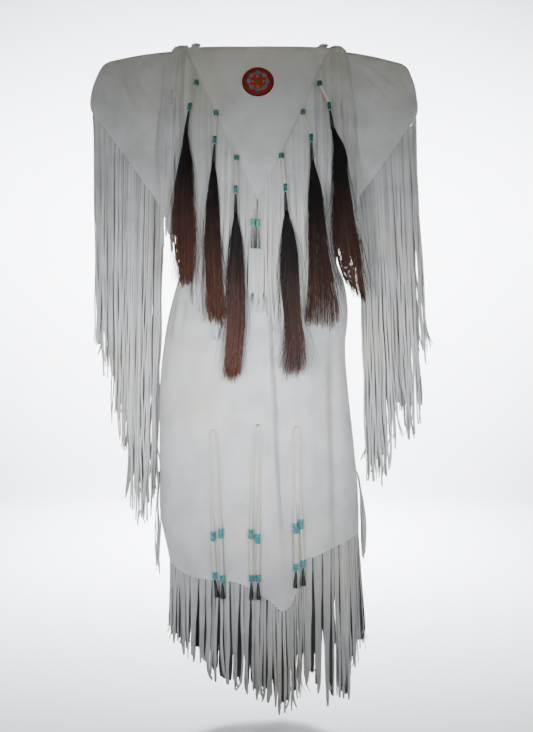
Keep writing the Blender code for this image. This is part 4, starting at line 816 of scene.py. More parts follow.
def rolled_tin(name, colour):
    """Tinned sheet rolled by hand: dull grey metal, unevenly scuffed."""
    made, tree, shader, where = finish_of(name)
    # Scuffs of about 5 mm, with finer ones down to 0.3 mm in them
    scuff = node(tree, "ShaderNodeTexNoise", {"Vector": where, "Scale": 180.0, "Detail": 5.0,
                                               "Roughness": 0.7})
    tone = node(tree, "ShaderNodeMapRange", {"Value": scuff.outputs["Fac"], "From Min": 0.3,
                                              "From Max": 0.7, "To Min": 0.7, "To Max": 1.1})
    shade = node(tree, "ShaderNodeVectorMath", {0: colour, "Scale": tone.outputs["Result"]},
                 operation="SCALE")
    gloss = node(tree, "ShaderNodeMapRange", {"Value": scuff.outputs["Fac"], "From Min": 0.3,
                                               "From Max": 0.7, "To Min": 0.28, "To Max": 0.52})
    bump = node(tree, "ShaderNodeBump", {"Height": scuff.outputs["Fac"], "Strength": 0.2,
                                          "Distance": 0.0003})
    feed(tree, shader, {"Base Color": shade.outputs[0], "Roughness": gloss.outputs["Result"],
                        "Metallic": 1.0, "Normal": bump.outputs[0]})
    return made


def horsehair(name, root, tip):
    """Coarse tail hair: near black at the root, red-brown and drier toward the ends."""
    made, tree, shader, _ = finish_of(name)
    run = node(tree, "ShaderNodeAttribute", attribute_name="run").outputs["Fac"]
    each = node(tree, "ShaderNodeAttribute", attribute_name="strand").outputs["Fac"]
    share = node(tree, "ShaderNodeMapRange", {"Value": run, "From Min": 0.28, "From Max": 1.05})
    mix = node(tree, "ShaderNodeMix", {0: share.outputs["Result"], 6: opaque(root), 7: opaque(tip)},
               data_type="RGBA")
    level = node(tree, "ShaderNodeMapRange", {"Value": each, "To Min": 0.30, "To Max": 1.45})
    shade = node(tree, "ShaderNodeVectorMath", {0: mix.outputs[2], "Scale": level.outputs["Result"]},
                 operation="SCALE")
    feed(tree, shader, {"Base Color": shade.outputs[0], "Roughness": 0.42, "IOR": 1.55,
                        "Specular IOR Level": 0.28})
    return made


def seed_beads(name, colours):
    """Small glass beads, each of one colour: the colour's number is in the attribute colour."""
    made, tree, shader, _ = finish_of(name)
    which = node(tree, "ShaderNodeAttribute", attribute_name="colour").outputs["Fac"]
    ramp = node(tree, "ShaderNodeValToRGB", {"Fac": which})
    ramp.color_ramp.interpolation = "CONSTANT"
    points = ramp.color_ramp.elements
    points[0].color = opaque(colours[0])
    points[1].position, points[1].color = 1 / len(colours), opaque(colours[1])
    for number, colour in enumerate(colours[2:], 2):
        points.new(number / len(colours)).color = opaque(colour)
    each = node(tree, "ShaderNodeAttribute", attribute_name="strand").outputs["Fac"]
    level = node(tree, "ShaderNodeMapRange", {"Value": each, "To Min": 0.75, "To Max": 1.2})
    shade = node(tree, "ShaderNodeVectorMath", {0: ramp.outputs["Color"], "Scale": level.outputs["Result"]},
                 operation="SCALE")
    feed(tree, shader, {"Base Color": shade.outputs[0], "Roughness": 0.34, "IOR": 1.52,
                        "Specular IOR Level": 0.35})
    return made


def once(name, make, *looks):
    """A material by its name, made the first time that it is asked for."""
    return bpy.data.materials.get(name) or make(name, *looks)


def settled(piece, material, slot, *nodes):
    """Give a piece its material and its place in the frame, and hide the solids that it stands for."""
    piece.data.materials.append(material)
    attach(piece, "root")
    if nodes:
        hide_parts(*nodes)


HIDE = "Brain-tanned buckskin"
STRAND = "Cut buckskin strands"
LACE = "Cream buckskin laces"


def hide_material(kind):
    """The buckskin of the hides, of the strands cut from them, or of the laces."""
    tint = bpy.context.scene.dress_hide
    light, dark = (tint.cream * 0.93, tint.light * 0.93) if kind == LACE else (tint.light, tint.dark)
    return once(kind, buckskin, light, dark, tint.cream, kind != HIDE)


# Hides

FINE_ROWS = 190             # rows from the shoulder to the hem
FINE_HALF = 56              # columns on each side of the middle
ARMHOLE_ROW = 69            # the armhole ends on this row, and a sleeve's top is this far from its ends
SLEEVE_COLUMNS = 49         # columns from the armhole to the cuff


def unevenness(x, z):
    """Low swells of the hide: two crossed sines some 0.1 m long, multiplied, and 0.6 mm high."""
    return 0.0006 * np.sin(x * 61 + z * 23) * np.sin(z * 47 - x * 19 + 1.3)


def fine_panel(face):
    """The front or back on a fine grid, with creases and a slight unevenness of the hide."""
    sign = FACES[face]
    upper = np.linspace(0.0, ARMHOLE_END, ARMHOLE_ROW + 1)
    lower = np.linspace(ARMHOLE_END, HEM_DROP, FINE_ROWS - ARMHOLE_ROW)[1:]
    across = np.linspace(-1.0, 1.0, 2 * FINE_HALF + 1)
    grid = panel_rows(face, np.concatenate([upper, lower]), across)
    normals = grid_normals(grid) * -sign
    x, z = grid[..., 0], grid[..., 2]
    # The back has the front's creases, mirrored
    lift = ridges(CREASES, x * -sign, z, True) * bpy.context.scene.dress_hide.crease
    lift = (lift + unevenness(x, z)) * step((1 - np.abs(across)) * 9) * step(-z / 0.02)
    grid = grid + normals * lift[..., None]
    grid[..., 1] = sign * np.maximum(sign * grid[..., 1], SEAM_GAP)
    return grid, normals


def ridge_up(side):
    """The wall's direction along the top of a shoulder: up, and out to the side of each sign."""
    return unit(np.multiply.outer(side, SIDEWAYS * SHOULDER_LEAN) - DOWN)


def fine_sleeve(side_name, front, back):
    """A sleeve on a fine grid: straight from the armhole to the cuff, swelling along its ridge."""
    side = SIDES[side_name]
    along = np.linspace(0.0, 1.0, ARMHOLE_ROW + 1)
    x = smooth(along, CUFF, side_name + "_x")
    z = smooth(along, CUFF, side_name + "_z")
    out = np.maximum(smooth(along, CUFF, "depth"), 0.0)
    cuff_front = np.stack([side * x, -out, z], axis=-1)
    edge = 0 if side < 0 else -1
    armhole = np.concatenate([front[:ARMHOLE_ROW + 1, edge][::-1], back[1:ARMHOLE_ROW + 1, edge]])
    cuff = np.concatenate([cuff_front[::-1], (cuff_front * (1, -1, 1))[1:]])
    share = np.linspace(0.0, 1.0, SLEEVE_COLUMNS)[None, :, None]
    armhole = armhole + SIDEWAYS * side * 0.0004
    grid = armhole[:, None] * (1 - share) + cuff[:, None] * share
    near_ridge = np.exp(-(grid[..., 1] / 0.04) ** 2) * np.sin(np.pi * share[..., 0])
    grid[..., 2] += RIDGE_RISE * near_ridge * step(1 + grid[..., 2] / 0.12)
    normals = grid_normals(grid) * -side
    normals = normals * np.sign(normals[ARMHOLE_ROW, SLEEVE_COLUMNS // 2, 2])
    normals[ARMHOLE_ROW] = ridge_up(side)
    lift = ridges(SLEEVE_CREASES, grid[..., 0], grid[..., 2], True)
    lift = lift + 0.0005 * np.sin(grid[..., 0] * 73 + grid[..., 2] * 29) * np.sin(grid[..., 2] * 53)
    from_ridge = np.abs(np.linspace(-1, 1, 2 * ARMHOLE_ROW + 1))[:, None]
    fade = step(share[..., 0] * 7) * step(from_ridge * 5)
    return grid + normals * (lift * fade * bpy.context.scene.dress_hide.crease)[..., None], normals


# Grids and pieces that later operators lay theirs on
SHARED = {}


class DRESS_OT_hides(bpy.types.Operator):
    """Front and back of the dress: fine walls of hide on the same sections as the solids"""
    bl_idname = "dress.hides"
    bl_label = "Front and back"

    def execute(self, context):
        for face in FACES:
            grid, normals = fine_panel(face)
            SHARED[face] = (grid, normals)
            piece = shell(f"{face}_hide", grid, normals, context.scene.dress_hide.wall)
            settled(piece, hide_material(HIDE), "hide", f"{face}_panel")
            SHARED[face + "_piece"] = piece
        return {"FINISHED"}


class DRESS_OT_sleeves(bpy.types.Operator):
    """Open cape sleeves from the armholes to their slanted cuffs"""
    bl_idname = "dress.sleeves"
    bl_label = "Sleeves"

    def execute(self, context):
        front, back = SHARED["front"][0], SHARED["back"][0]
        for side_name in SIDES:
            grid, normals = fine_sleeve(side_name, front, back)
            SHARED[side_name] = (grid, normals)
            piece = shell(f"sleeve_{side_name}_hide", grid, normals, context.scene.dress_hide.wall)
            settled(piece, hide_material(HIDE), "hide", f"sleeve_{side_name}")
            SHARED[side_name + "_piece"] = piece
        return {"FINISHED"}


class DRESS_OT_yoke(bpy.types.Operator):
    """V-shaped yoke lying on the chest"""
    bl_idname = "dress.yoke"
    bl_label = "Yoke"

    def execute(self, context):
        drops = np.linspace(0.0, YOKE["drop"][-1], 90)
        across = np.linspace(-1.0, 1.0, 71)
        x = smooth(drops, YOKE, "half_width")[:, None] * across[None, :]
        base = on_body("front", x, height("front", x, drops[:, None]))
        share = (step((np.abs(x) - NECK_HALF_WIDTH) / 0.01) * (drops[:, None] < 0.004))[..., None]
        normals = unit(grid_normals(base) * (1 - share) + ridge_up(np.sign(x)) * share)
        z = base[..., 2]
        lift = (ridges(CREASES, x, z, True) + unevenness(x, z)) * step(-z / 0.02)
        grid = base + normals * (lift + YOKE_LIFT + YOKE_WALL + 0.0004)[..., None]
        grid[0, :, 1] = np.minimum(grid[0, :, 1], -SEAM_GAP)
        piece = shell("yoke_hide", grid, normals, YOKE_WALL)
        settled(piece, hide_material(HIDE), "hide", "yoke_front")
        SHARED["yoke_piece"] = piece
        SHARED["yoke_grid"] = grid
        return {"FINISHED"}


# Fringe

ROOT_BELOW = 0.0006         # a strand's root, below the cut edge that it comes from
LAYER_GAP = 0.0030          # from the outer layer of strands to the one behind it


def wavy(paths, across, chance, amount, growth=1.0):
    """Paths with a slight wave: two sines along each, growing toward the tip, across and outward."""
    count, rings = paths.shape[:2]
    run = np.linspace(0, 1, rings)[None, :]
    length = np.linalg.norm(paths[:, -1] - paths[:, 0], axis=-1)[:, None]
    pace = chance.uniform(0.7, 1.6, (count, 1)) * length / 0.22
    start = chance.uniform(0, 2 * np.pi, (count, 1))
    swing = np.sin(2 * np.pi * pace * run + start) - np.sin(start)
    second = np.sin(2 * np.pi * pace * 1.7 * run + start * 1.9) - np.sin(start * 1.9)
    size = amount * chance.uniform(0.3, 1.0, (count, 1)) * run ** growth
    moved = paths + across.reshape(-1, 1, 3) * (size * swing)[..., None]
    moved[..., 1] += 0.6 * size * second
    return moved


def strand_widths(pitch, rings, chance, cover=1.0):
    """Widths down each strand: its share of the edge times a cover, less toward the tip, where it is
    cut at a slant."""
    run = np.linspace(0, 1, rings)[None, :]
    own = cover * chance.uniform(0.74, 1.08, (len(pitch), 1))
    slimmer = 1 - 0.10 * run - 0.35 * np.clip((run - 0.94) / 0.06, 0, 1)
    curl = 1 + 0.10 * np.sin(2 * np.pi * (run * chance.uniform(1, 3, (len(pitch), 1)) + own * 9))
    return pitch[:, None] * own * slimmer * curl


def in_steps(values, chance, most):
    """Values evened out within runs of two to a few neighbours, as fringe is trimmed in bunches."""
    ends = np.cumsum(chance.integers(2, most + 1, len(values)))
    bunch = np.searchsorted(ends, np.arange(len(values)), side="right")
    means = np.bincount(bunch, values) / np.maximum(np.bincount(bunch), 1)
    return means[bunch]


def twists(count, rings, chance, most):
    """Turns down each strand, from none at the root, in radians."""
    run = np.linspace(0, 1, rings)[None, :]
    return chance.normal(0, most, (count, 1)) * run ** 1.3


def curled(paths, chance, share, size):
    """Some strands hooked at their ends: the last seventh bends aside by a random amount."""
    count, rings = paths.shape[:2]
    run = np.clip((np.linspace(0, 1, rings)[None, :] - 0.86) / 0.14, 0, 1) ** 2
    hooked = (chance.uniform(0, 1, (count, 1)) < share) * chance.normal(0, size, (count, 1))
    paths[..., 0] += hooked * run
    paths[..., 1] += chance.normal(0, size * 0.6, (count, 1)) * run
    paths[..., 2] += np.abs(hooked) * run * 0.5
    return paths


def rooted(edge, places, sign, layer):
    """Roots of strands just below a cut edge, those of a second layer further in, and each strand's
    part of the edge, from its one end to its other."""
    half = 0.5 / len(places)
    roots = spread_along(edge, places) + DOWN * ROOT_BELOW
    roots[:, 1] -= sign * LAYER_GAP * layer
    return roots, spread_along(edge, places + half) - spread_along(edge, places - half)


def strands(solid, paths, across, widths, twist, chance, inner=0.0):
    """The strands of one fringe, in the place of its solid."""
    thickness = bpy.context.scene.dress_fringe.thickness
    piece = ribbons(f"{solid}_strands", paths, across, widths, thickness, twist, chance, inner)
    settled(piece, hide_material(STRAND), "hide_fringe", solid)
    return piece


class DRESS_OT_hem_fringe(bpy.types.Operator):
    """Fringe cut along the slanting hem, front and back"""
    bl_idname = "dress.hem_fringe"
    bl_label = "Hem fringe"

    def execute(self, context):
        chance = np.random.default_rng(11)
        fringe = context.scene.dress_fringe
        rings = 20
        run = np.linspace(0, 1, rings)[None, :, None]
        for face, sign in FACES.items():
            grid, normals = SHARED[face]
            edge = grid[-1] - normals[-1] * context.scene.dress_hide.wall / 2
            layers = []
            for layer in range(2):
                count = fringe.hem - 2 * layer
                places = evenly(count, chance.uniform(-0.2, 0.2, count))
                roots, reach = rooted(edge, places, sign, layer)
                ahead, behind = spread_along(edge, places + 0.004), spread_along(edge, places - 0.004)
                across = unit((ahead - behind) * (1, 1, 0))
                pitch = np.linalg.norm(reach[:, :2], axis=1)
                place = (roots[:, 0] - middle_shift(HEM_DROP)) / half_width(HEM_DROP)
                # Tips end in bunches near the hem's line of tips, and those of the layer behind are
                # higher and further in
                tips = roots.copy()
                tips[:, 2] = in_steps(smooth(place, HEM_TIPS[face], "height"), chance, 4)
                tips[:, 2] += chance.uniform(-0.010, 0.012, count) + 0.012 * layer
                tips[:, 0] += 0.012 * np.maximum(place, 0.0) ** 3 + chance.normal(0, 0.0035, count)
                tips[:, 1] += chance.normal(0, 0.0018, count) - sign * 0.012 * layer
                paths = between((roots[:, None], tips[:, None]), run)
                paths = wavy(paths, across, chance, 0.0024 * fringe.unruly)
                paths = curled(paths, chance, 0.4, 0.006 * fringe.unruly)
                # Painted shade: the layer behind is darkened most and the outer strands a little, as if in
                # the shade among the strands
                layers.append((paths, across, strand_widths(pitch, rings, chance, 0.96 + 0.62 * layer),
                               np.full(count, 0.20 + 0.80 * layer)))
            paths, across, widths, inner = (np.concatenate(part) for part in zip(*layers))
            twist = twists(len(paths), rings, chance, 0.45 * fringe.unruly)
            piece = strands(f"hem_fringe_{face}", paths, across, widths, twist, chance, inner)
        return {"FINISHED"}


class DRESS_OT_sleeve_fringe(bpy.types.Operator):
    """Long fringe along the slanted cuffs of both sleeves"""
    bl_idname = "dress.sleeve_fringe"
    bl_label = "Sleeve fringe"

    def execute(self, context):
        chance = np.random.default_rng(12)
        fringe = context.scene.dress_fringe
        rings = 24
        run = np.linspace(0, 1, rings)[None, :]
        for side_name, side in SIDES.items():
            grid, normals = SHARED[side_name]
            for face, sign in FACES.items():
                rows = np.arange(ARMHOLE_ROW - int(ARMHOLE_ROW * CUFF_CORNER), -1, -1)
                rows = rows if face == "front" else 2 * ARMHOLE_ROW - rows
                edge = grid[rows, -1] - normals[rows, -1] * context.scene.dress_hide.wall / 2
                layers = []
                for layer in range(2):
                    count = fringe.sleeve - layer
                    places = evenly(count, chance.uniform(-0.2, 0.2, count))
                    roots, reach = rooted(edge, places, sign, layer)
                    pitch = np.maximum(np.abs(reach[:, 0]), 0.0032)
                    tip_x = between(SLEEVE_TIP_SPAN[side_name], places) + chance.normal(0, 0.0015, count)
                    tip_z = in_steps(smooth(places, SLEEVE_TIPS, side_name), chance, 5)
                    tip_z += chance.uniform(-0.014, 0.012, count) + (0.03 if face == "back" else 0.0)
                    # Each strand swings out to its tip's place, and keeps clear of the hip
                    swing = between(SLEEVE_SWING[side_name], places)[:, None]
                    z = between((roots[:, 2:3], tip_z[:, None]), run)
                    x = between((np.abs(roots[:, 0:1]), tip_x[:, None]), run ** swing)
                    hip = half_width(-z) + side * middle_shift(-z)
                    x = np.where(run > 0.02, np.maximum(x, hip + 0.004 + pitch[:, None] / 2), x)
                    y = roots[:, 1:2] + (chance.normal(0, 0.0018, (count, 1)) - sign * 0.009 * layer) * run
                    paths = np.stack([side * x, y + 0 * z, z], axis=-1)
                    paths = wavy(paths, SIDEWAYS, chance, 0.0026 * fringe.unruly, 0.8)
                    paths = curled(paths, chance, 0.5, 0.007 * fringe.unruly)
                    # Painted shade: the layer behind is darkened, as if in the outer layer's shade
                    layers.append((paths, strand_widths(pitch, rings, chance, 1.06 + 0.26 * layer),
                                   np.full(count, 0.42 * layer)))
                paths, widths, inner = (np.concatenate(part) for part in zip(*layers))
                twist = twists(len(paths), rings, chance, 0.5 * fringe.unruly)
                strands(f"sleeve_fringe_{face}_{side_name}", paths, SIDEWAYS, widths, twist, chance, inner)
        return {"FINISHED"}


class DRESS_OT_chest_fringe(bpy.types.Operator):
    """Fringe let in along the yoke's edges, and the thongs gathered on the shoulders"""
    bl_idname = "dress.chest_fringe"
    bl_label = "Chest fringe"

    def execute(self, context):
        chance = np.random.default_rng(13)
        fringe = context.scene.dress_fringe
        under = relief_of([SHARED["front_piece"], SHARED["left_piece"], SHARED["right_piece"]])
        SHARED["under"] = under
        rings = 20
        for side_name, side in SIDES.items():
            count = fringe.yoke
            places = evenly(count)
            drops = between(YOKE_FRINGE, places)
            x = side * (smooth(drops, YOKE, "half_width") + 0.0008)
            # Every other strand lies over its neighbours
            layer = np.arange(count) % 2
            run = np.linspace(0, 1, rings)[None, :]
            tip_z = smooth(places, YOKE_TIPS, "height") + chance.uniform(-0.035, 0.020, count)
            z = between((-drops[:, None], tip_z[:, None]), run)
            # The innermost strands lie flat, behind the centre drops
            loose = step((np.abs(x) - 0.014) / 0.012)
            drift = (side * 0.004 + chance.normal(0, 0.003, count)) * loose - side * 0.0062 * (1 - loose)
            across_x = x[:, None] + drift[:, None] * np.where(loose[:, None] > 0.5, run, np.sqrt(run))
            over = np.where(loose > 0.5, layer, side > 0)
            lift = (0.0022 + 0.0016 * over)[:, None] + 0.0 * run
            start = stands_out(under, x, -drops) + YOKE_LIFT + YOKE_WALL / 2
            paths = lie(under, across_x, z, start, lift)
            waves = (0.0008 + 0.0034 * loose[:, None]) * fringe.unruly
            twist = twists(count, rings, chance, 0.40 * fringe.unruly) * loose[:, None]
            paths = wavy(paths, SIDEWAYS, chance, waves)
            widths = strand_widths(np.full(count, 0.0060), rings, chance)
            # Painted shade: the strands underneath are a little darker, as if in the shade of those over
            # them
            strands(f"yoke_fringe_{side_name}", paths, SIDEWAYS, widths, twist, chance, 0.14 * (1 - layer))

            # The shoulder's thongs come from a narrower gather and spread in their upper third
            count = fringe.shoulder
            places = evenly(count)
            x = side * between(SHOULDER_SPAN, places)
            gather = SHOULDER_SPAN[0] + 0.030 * places
            top = -0.006 - 0.05 * gather
            tip_z = SHOULDER_TIPS[side_name] + chance.uniform(-0.05, 0.03, count)
            z = between((top[:, None], tip_z[:, None]), run)
            spread = np.clip(run / 0.35, 0, 1) ** 0.8
            across_x = side * gather[:, None] * (1 - spread) + x[:, None] * spread
            across_x = across_x + chance.normal(0, 0.0035, (count, 1)) * run
            start = stands_out(under, side * gather, top) + 0.0026
            layer = np.arange(count) % 2
            lift = (0.0026 + 0.0014 * layer)[:, None] + 0.0 * run
            paths = lie(under, across_x, z, start, lift)
            paths = wavy(paths, SIDEWAYS, chance, 0.0045 * fringe.unruly)
            widths = strand_widths(np.full(count, 0.0066), rings, chance)
            twist = twists(count, rings, chance, 0.4 * fringe.unruly)
            # Painted shade: the thongs underneath are a little darker, as if in the shade of those over them
            strands(f"shoulder_fringe_{side_name}", paths, SIDEWAYS, widths, twist, chance,
                    0.16 * (1 - layer))
        return {"FINISHED"}


class DRESS_OT_side_fringe(bpy.types.Operator):
    """Short thongs tied at both side seams of the skirt"""
    bl_idname = "dress.side_fringe"
    bl_label = "Side fringe"

    def execute(self, context):
        chance = np.random.default_rng(14)
        fringe = context.scene.dress_fringe
        rings, count = 16, 12
        for side_name, side in SIDES.items():
            y = (evenly(count) * 2 - 1) * SIDE_HALF_SPAN
            run = np.linspace(0, 1, rings)[None, :]
            tip = SIDE_TIPS[side_name] + chance.uniform(-0.03, 0.02, count)
            z = between((SIDE_ROOT_HEIGHT, tip[:, None]), run)
            front, back = (smooth(-z, SECTIONS, face + "_mid") for face in FACES)
            mid = np.where(y[:, None] < 0, front, back)
            hip = side * middle_shift(-z) + half_width(-z) * np.sqrt(1 - (y[:, None] / mid) ** 2)
            out = np.maximum.accumulate(hip, axis=1) + 0.0018 + SIDE_LEAN[side_name] * np.sqrt(run)
            paths = np.stack([side * out, y[:, None] + 0 * z, z], axis=-1)
            paths = wavy(paths, SIDEWAYS * side, chance, 0.0050 * fringe.unruly)
            widths = strand_widths(np.full(count, 0.0042), rings, chance)
            twist = twists(count, rings, chance, 0.8 * fringe.unruly)
            strands(f"side_fringe_{side_name}", paths, -FRONTWARD, widths, twist, chance)
        return {"FINISHED"}


# Beads, cones, laces and horsehair

# Radius at the small end and at the mouth of each kind of cone, and its sheet's thickness and colour
CHEST_CONE = (0.0018, 0.0038)
CENTRE_CONE = (0.0018, 0.0040)
SKIRT_CONE = (0.0018, 0.0043)
TIN_WALL = 0.0005
DARK_TIN = "#4E534E"
# Radius and length of each kind of bead on the chest, and the lengths of the skirt's
TOP_BEAD = (0.0050, 0.0100)
LOWER_BEAD = (0.0036, 0.0072)
CENTRE_BEAD = (0.0041, 0.0070)
TALL_LENGTH, SHORT_LENGTH = 0.0096, 0.0066
# Thickness of a lace, and its width on each kind of drop
LACE_WALL = 0.0018
CHEST_LACE, CENTRE_LACE, SKIRT_LACE = 0.0042, 0.0026, 0.0050


def node_points(name):
    """All the points of a CAD solid as an array."""
    mesh = frame["nodes"][name].data
    points = np.zeros(len(mesh.vertices) * 3, dtype=np.float32)
    mesh.vertices.foreach_get("co", points)
    return points.reshape(-1, 3).astype(float)


def ends_of(name):
    """Middles of the upper and the lower end of an upright CAD solid."""
    points = node_points(name)
    low, high = points[:, 2].min(), points[:, 2].max()
    reach = (high - low) * 0.1
    upper = points[points[:, 2] > high - reach]
    lower = points[points[:, 2] < low + reach]
    return (upper.min(0) + upper.max(0)) / 2, (lower.min(0) + lower.max(0)) / 2


def root_of(points):
    """Where a string is sewn on: the mean of the points within 3 mm of its top."""
    return points[points[:, 2] > points[:, 2].max() - 0.003].mean(axis=0)


def bead_at(points, x, z, aside, above):
    """Middle of the bead at a place on a string: of the box round the solid's points near it."""
    near = points[(np.abs(points[:, 0] - x) < aside) & (np.abs(points[:, 2] - z) < above)]
    return (near.min(0) + near.max(0)) / 2


def bead_profile(radius, length, bore):
    """Half the outline of a moulded bead: a barrel with rounded ends round its bore."""
    angle = np.linspace(0, 2 * np.pi, 16, endpoint=False)
    along = length / 2 * np.sign(np.cos(angle)) * np.abs(np.cos(angle)) ** 0.55
    middle, half = (radius + bore) / 2, (radius - bore) / 2
    return np.stack([along, middle + half * np.sign(np.sin(angle)) * np.abs(np.sin(angle)) ** 0.7], axis=-1)


def beads_on(name, middles, axes, radius, length):
    """Moulded beads at several places."""
    return turned(name, middles, axes, bead_profile(radius, length, radius * 0.34), 22)


def rolled_cone(name, top, low, small, wide):
    """A cone rolled from sheet: a wall that turns once and a little more, its radius growing from the
    small end to the wide one and over the turn, so that the lap stands off."""
    axis = unit(low - top)
    side = unit(np.cross(axis, FRONTWARD))
    front = np.cross(axis, side)
    turns = np.linspace(0, 2 * np.pi * 1.09, 40)
    run = np.linspace(0, 1, 12)[:, None]
    radius = between((small, wide), run) + 0.0004 * (turns / (2 * np.pi))
    way = side * np.cos(turns + 2.0)[:, None] + front * np.sin(turns + 2.0)[:, None]
    outer = between((top, low), run)[:, None] + way * radius[..., None]
    return shell(name, outer, np.broadcast_to(way, outer.shape), TIN_WALL)


def lace(name, paths, width, chance):
    """A flat thong along a path, with a slight twist, in the laces' own buckskin."""
    twist = twists(*paths.shape[:2], chance, 0.2)
    piece = ribbons(name, paths, SIDEWAYS, np.full(paths.shape[:2], width), LACE_WALL, twist, chance)
    settled(piece, hide_material(LACE), "hide_fringe")


def through(places, rings):
    """A line of even points through a few places, by straight runs eased at the places."""
    places = np.array(places, dtype=float)
    fine = spread_along(places, np.linspace(0, 1, rings))
    for _ in range(2):
        fine[1:-1] = (fine[:-2] + fine[1:-1] * 2 + fine[2:]) / 4
    return fine[None]


def hair_lock(name, low, way, fan, slant, cover, chance, drops, fuller=1.0):
    """Horsehair from a cone's mouth: each hair keeps its own share of the lock's width, read from the
    outline at every height, and draws toward its neighbours so that they gather in wisps."""
    count, rings, wisps = int(drops.hairs * fuller), 18, 15
    run = np.linspace(0, 1, rings)[None, :]
    place = chance.uniform(0, 1, count)
    # Neighbours gather toward the middle of their wisp
    cell = np.floor(place * wisps).astype(int).clip(0, wisps - 1)
    centre = (cell + 0.5 + chance.normal(0, 0.18, wisps)[cell]) / wisps
    gathered = place[:, None] + (centre - place)[:, None] * (0.30 * run ** 1.5)
    root = low - way * 0.006
    bottom = -fan["drop"][-1]
    fray = chance.uniform(0, 1, count)
    edge = np.abs(2 * place - 1)
    # Hairs end higher at the lock's sides, and one in seven is shorter by up to 0.12 m
    tip_z = bottom + (0.012 * edge ** 2 + np.abs(chance.normal(0, 0.010, count)) - 0.006)
    tip_z = tip_z + slant * (1 - place) + chance.normal(0, 0.005, wisps)[cell]
    tip_z = np.where(fray < 0.14, tip_z + chance.uniform(0.02, 0.12, count), tip_z)
    z = between((root[2], tip_z[:, None]), run)
    left, right = (smooth(-z, fan, side) for side in ("left", "right"))
    x = between((left, right), gathered)
    # All come from the cone's mouth, and a quarter stray from the lock
    mouth = np.clip((root[2] - z) / 0.012, 0, 1)
    x = (root[0] + (place[:, None] - 0.5) * 0.0052) * (1 - mouth) + x * mouth
    stray = (chance.uniform(0, 1, (count, 1)) < 0.24) * chance.normal(0, 1, (count, 1))
    pace = chance.uniform(0.8, 2.4, (count, 1))
    x = x + stray * 0.012 * run ** 1.3 * (1 + 0.4 * np.sin(5 * run * pace))
    x = x + chance.normal(0, 0.0012, (count, 1)) * np.sin(np.pi * run * pace)
    start_y = -root[1] + 0.0022 * np.sqrt(chance.uniform(0, 1, count)) * np.sin(2 * np.pi * fray)
    layer = 0.0020 + 0.0070 * chance.uniform(0, 1, (count, 1)) * np.clip(run * 3, 0, 1)
    paths = lie(cover, x, z, start_y, layer)
    thick = drops.hair_width / 2 * chance.uniform(0.7, 1.15, (count, 1)) * (1 - 0.6 * run ** 4)
    thick = thick * (1 + 0.25 * (stray != 0))
    streaks = chance.uniform(0, 1, 48)[(place * 47.99).astype(int)]
    tone = 0.7 * streaks + 0.3 * chance.uniform(0, 1, count)
    values = {"strand": tone[:, None, None], "run": run[..., None]}
    return round_tubes(name, paths, thick, 3, values, 180.0)


class DRESS_OT_chest_drops(bpy.types.Operator):
    """Six laces from the yoke, each with beads, a rolled cone and a lock of horsehair"""
    bl_idname = "dress.chest_drops"
    bl_label = "Chest drops"

    def execute(self, context):
        chance = np.random.default_rng(15)
        drops = context.scene.dress_drops
        nodes = frame["nodes"]
        cover = relief_of([SHARED["yoke_piece"], nodes["yoke_fringe_left"], nodes["yoke_fringe_right"],
                           nodes["shoulder_fringe_left"], nodes["shoulder_fringe_right"]])
        cover = widened(np.maximum(cover, SHARED["under"]), 0.006)
        glass = glass_bead("Dark turquoise glass", paint("#2C7268"))
        green = glass_bead("Green turquoise glass", paint("#34705C"))
        tin = once("Darkened rolled tin", rolled_tin, paint(DARK_TIN))
        for name, (bead_x, bead_z, slant) in CHEST_DROPS.items():
            top, low = ends_of(f"chest_drop_{name}_cone")
            way = unit(low - top)
            points = node_points(f"chest_drop_{name}_beads")
            high = bead_at(points, bead_x, bead_z, 0.012, 0.004)
            start = root_of(points)
            first, second = top - way * 0.0124, top - way * 0.0048
            bead = beads_on(f"chest_drop_{name}_top_bead", [high], [DOWN], *TOP_BEAD)
            settled(bead, green, "turquoise_beads", f"chest_drop_{name}_beads")
            pair = beads_on(f"chest_drop_{name}_lower_beads", [first, second], [way, way], *LOWER_BEAD)
            settled(pair, glass, "turquoise_beads")
            path = through([start, start + (high - start) * 0.5, high + (first - high) * 0.02,
                            high + (first - high) * 0.5 + FRONTWARD * 0.0004, first, second,
                            top + way * 0.006], 26)
            lace(f"chest_drop_{name}_lace", path, CHEST_LACE, chance)
            cone = rolled_cone(f"chest_drop_{name}_tin_cone_0", top, low, *CHEST_CONE)
            settled(cone, tin, "tin_cones", f"chest_drop_{name}_cone")
            # The hair is redder and lighter on the left, and darker on the right
            side = 1.25 if name.startswith("left") else 0.75
            root = tuple(part * (0.6 + 0.4 * side) for part in drops.hair_root)
            tip = tuple(part * side for part in drops.hair_tip)
            kind = "Red-brown horsehair" if side > 1 else "Dark horsehair"
            lock = hair_lock(f"chest_drop_{name}_horsehair", low, way, LOCKS[name], slant,
                             cover, chance, drops, 1.45 if name.endswith("outer") else 1.0)
            settled(lock, once(kind, horsehair, root, tip), "horsehair", f"chest_drop_{name}_hair")
        return {"FINISHED"}


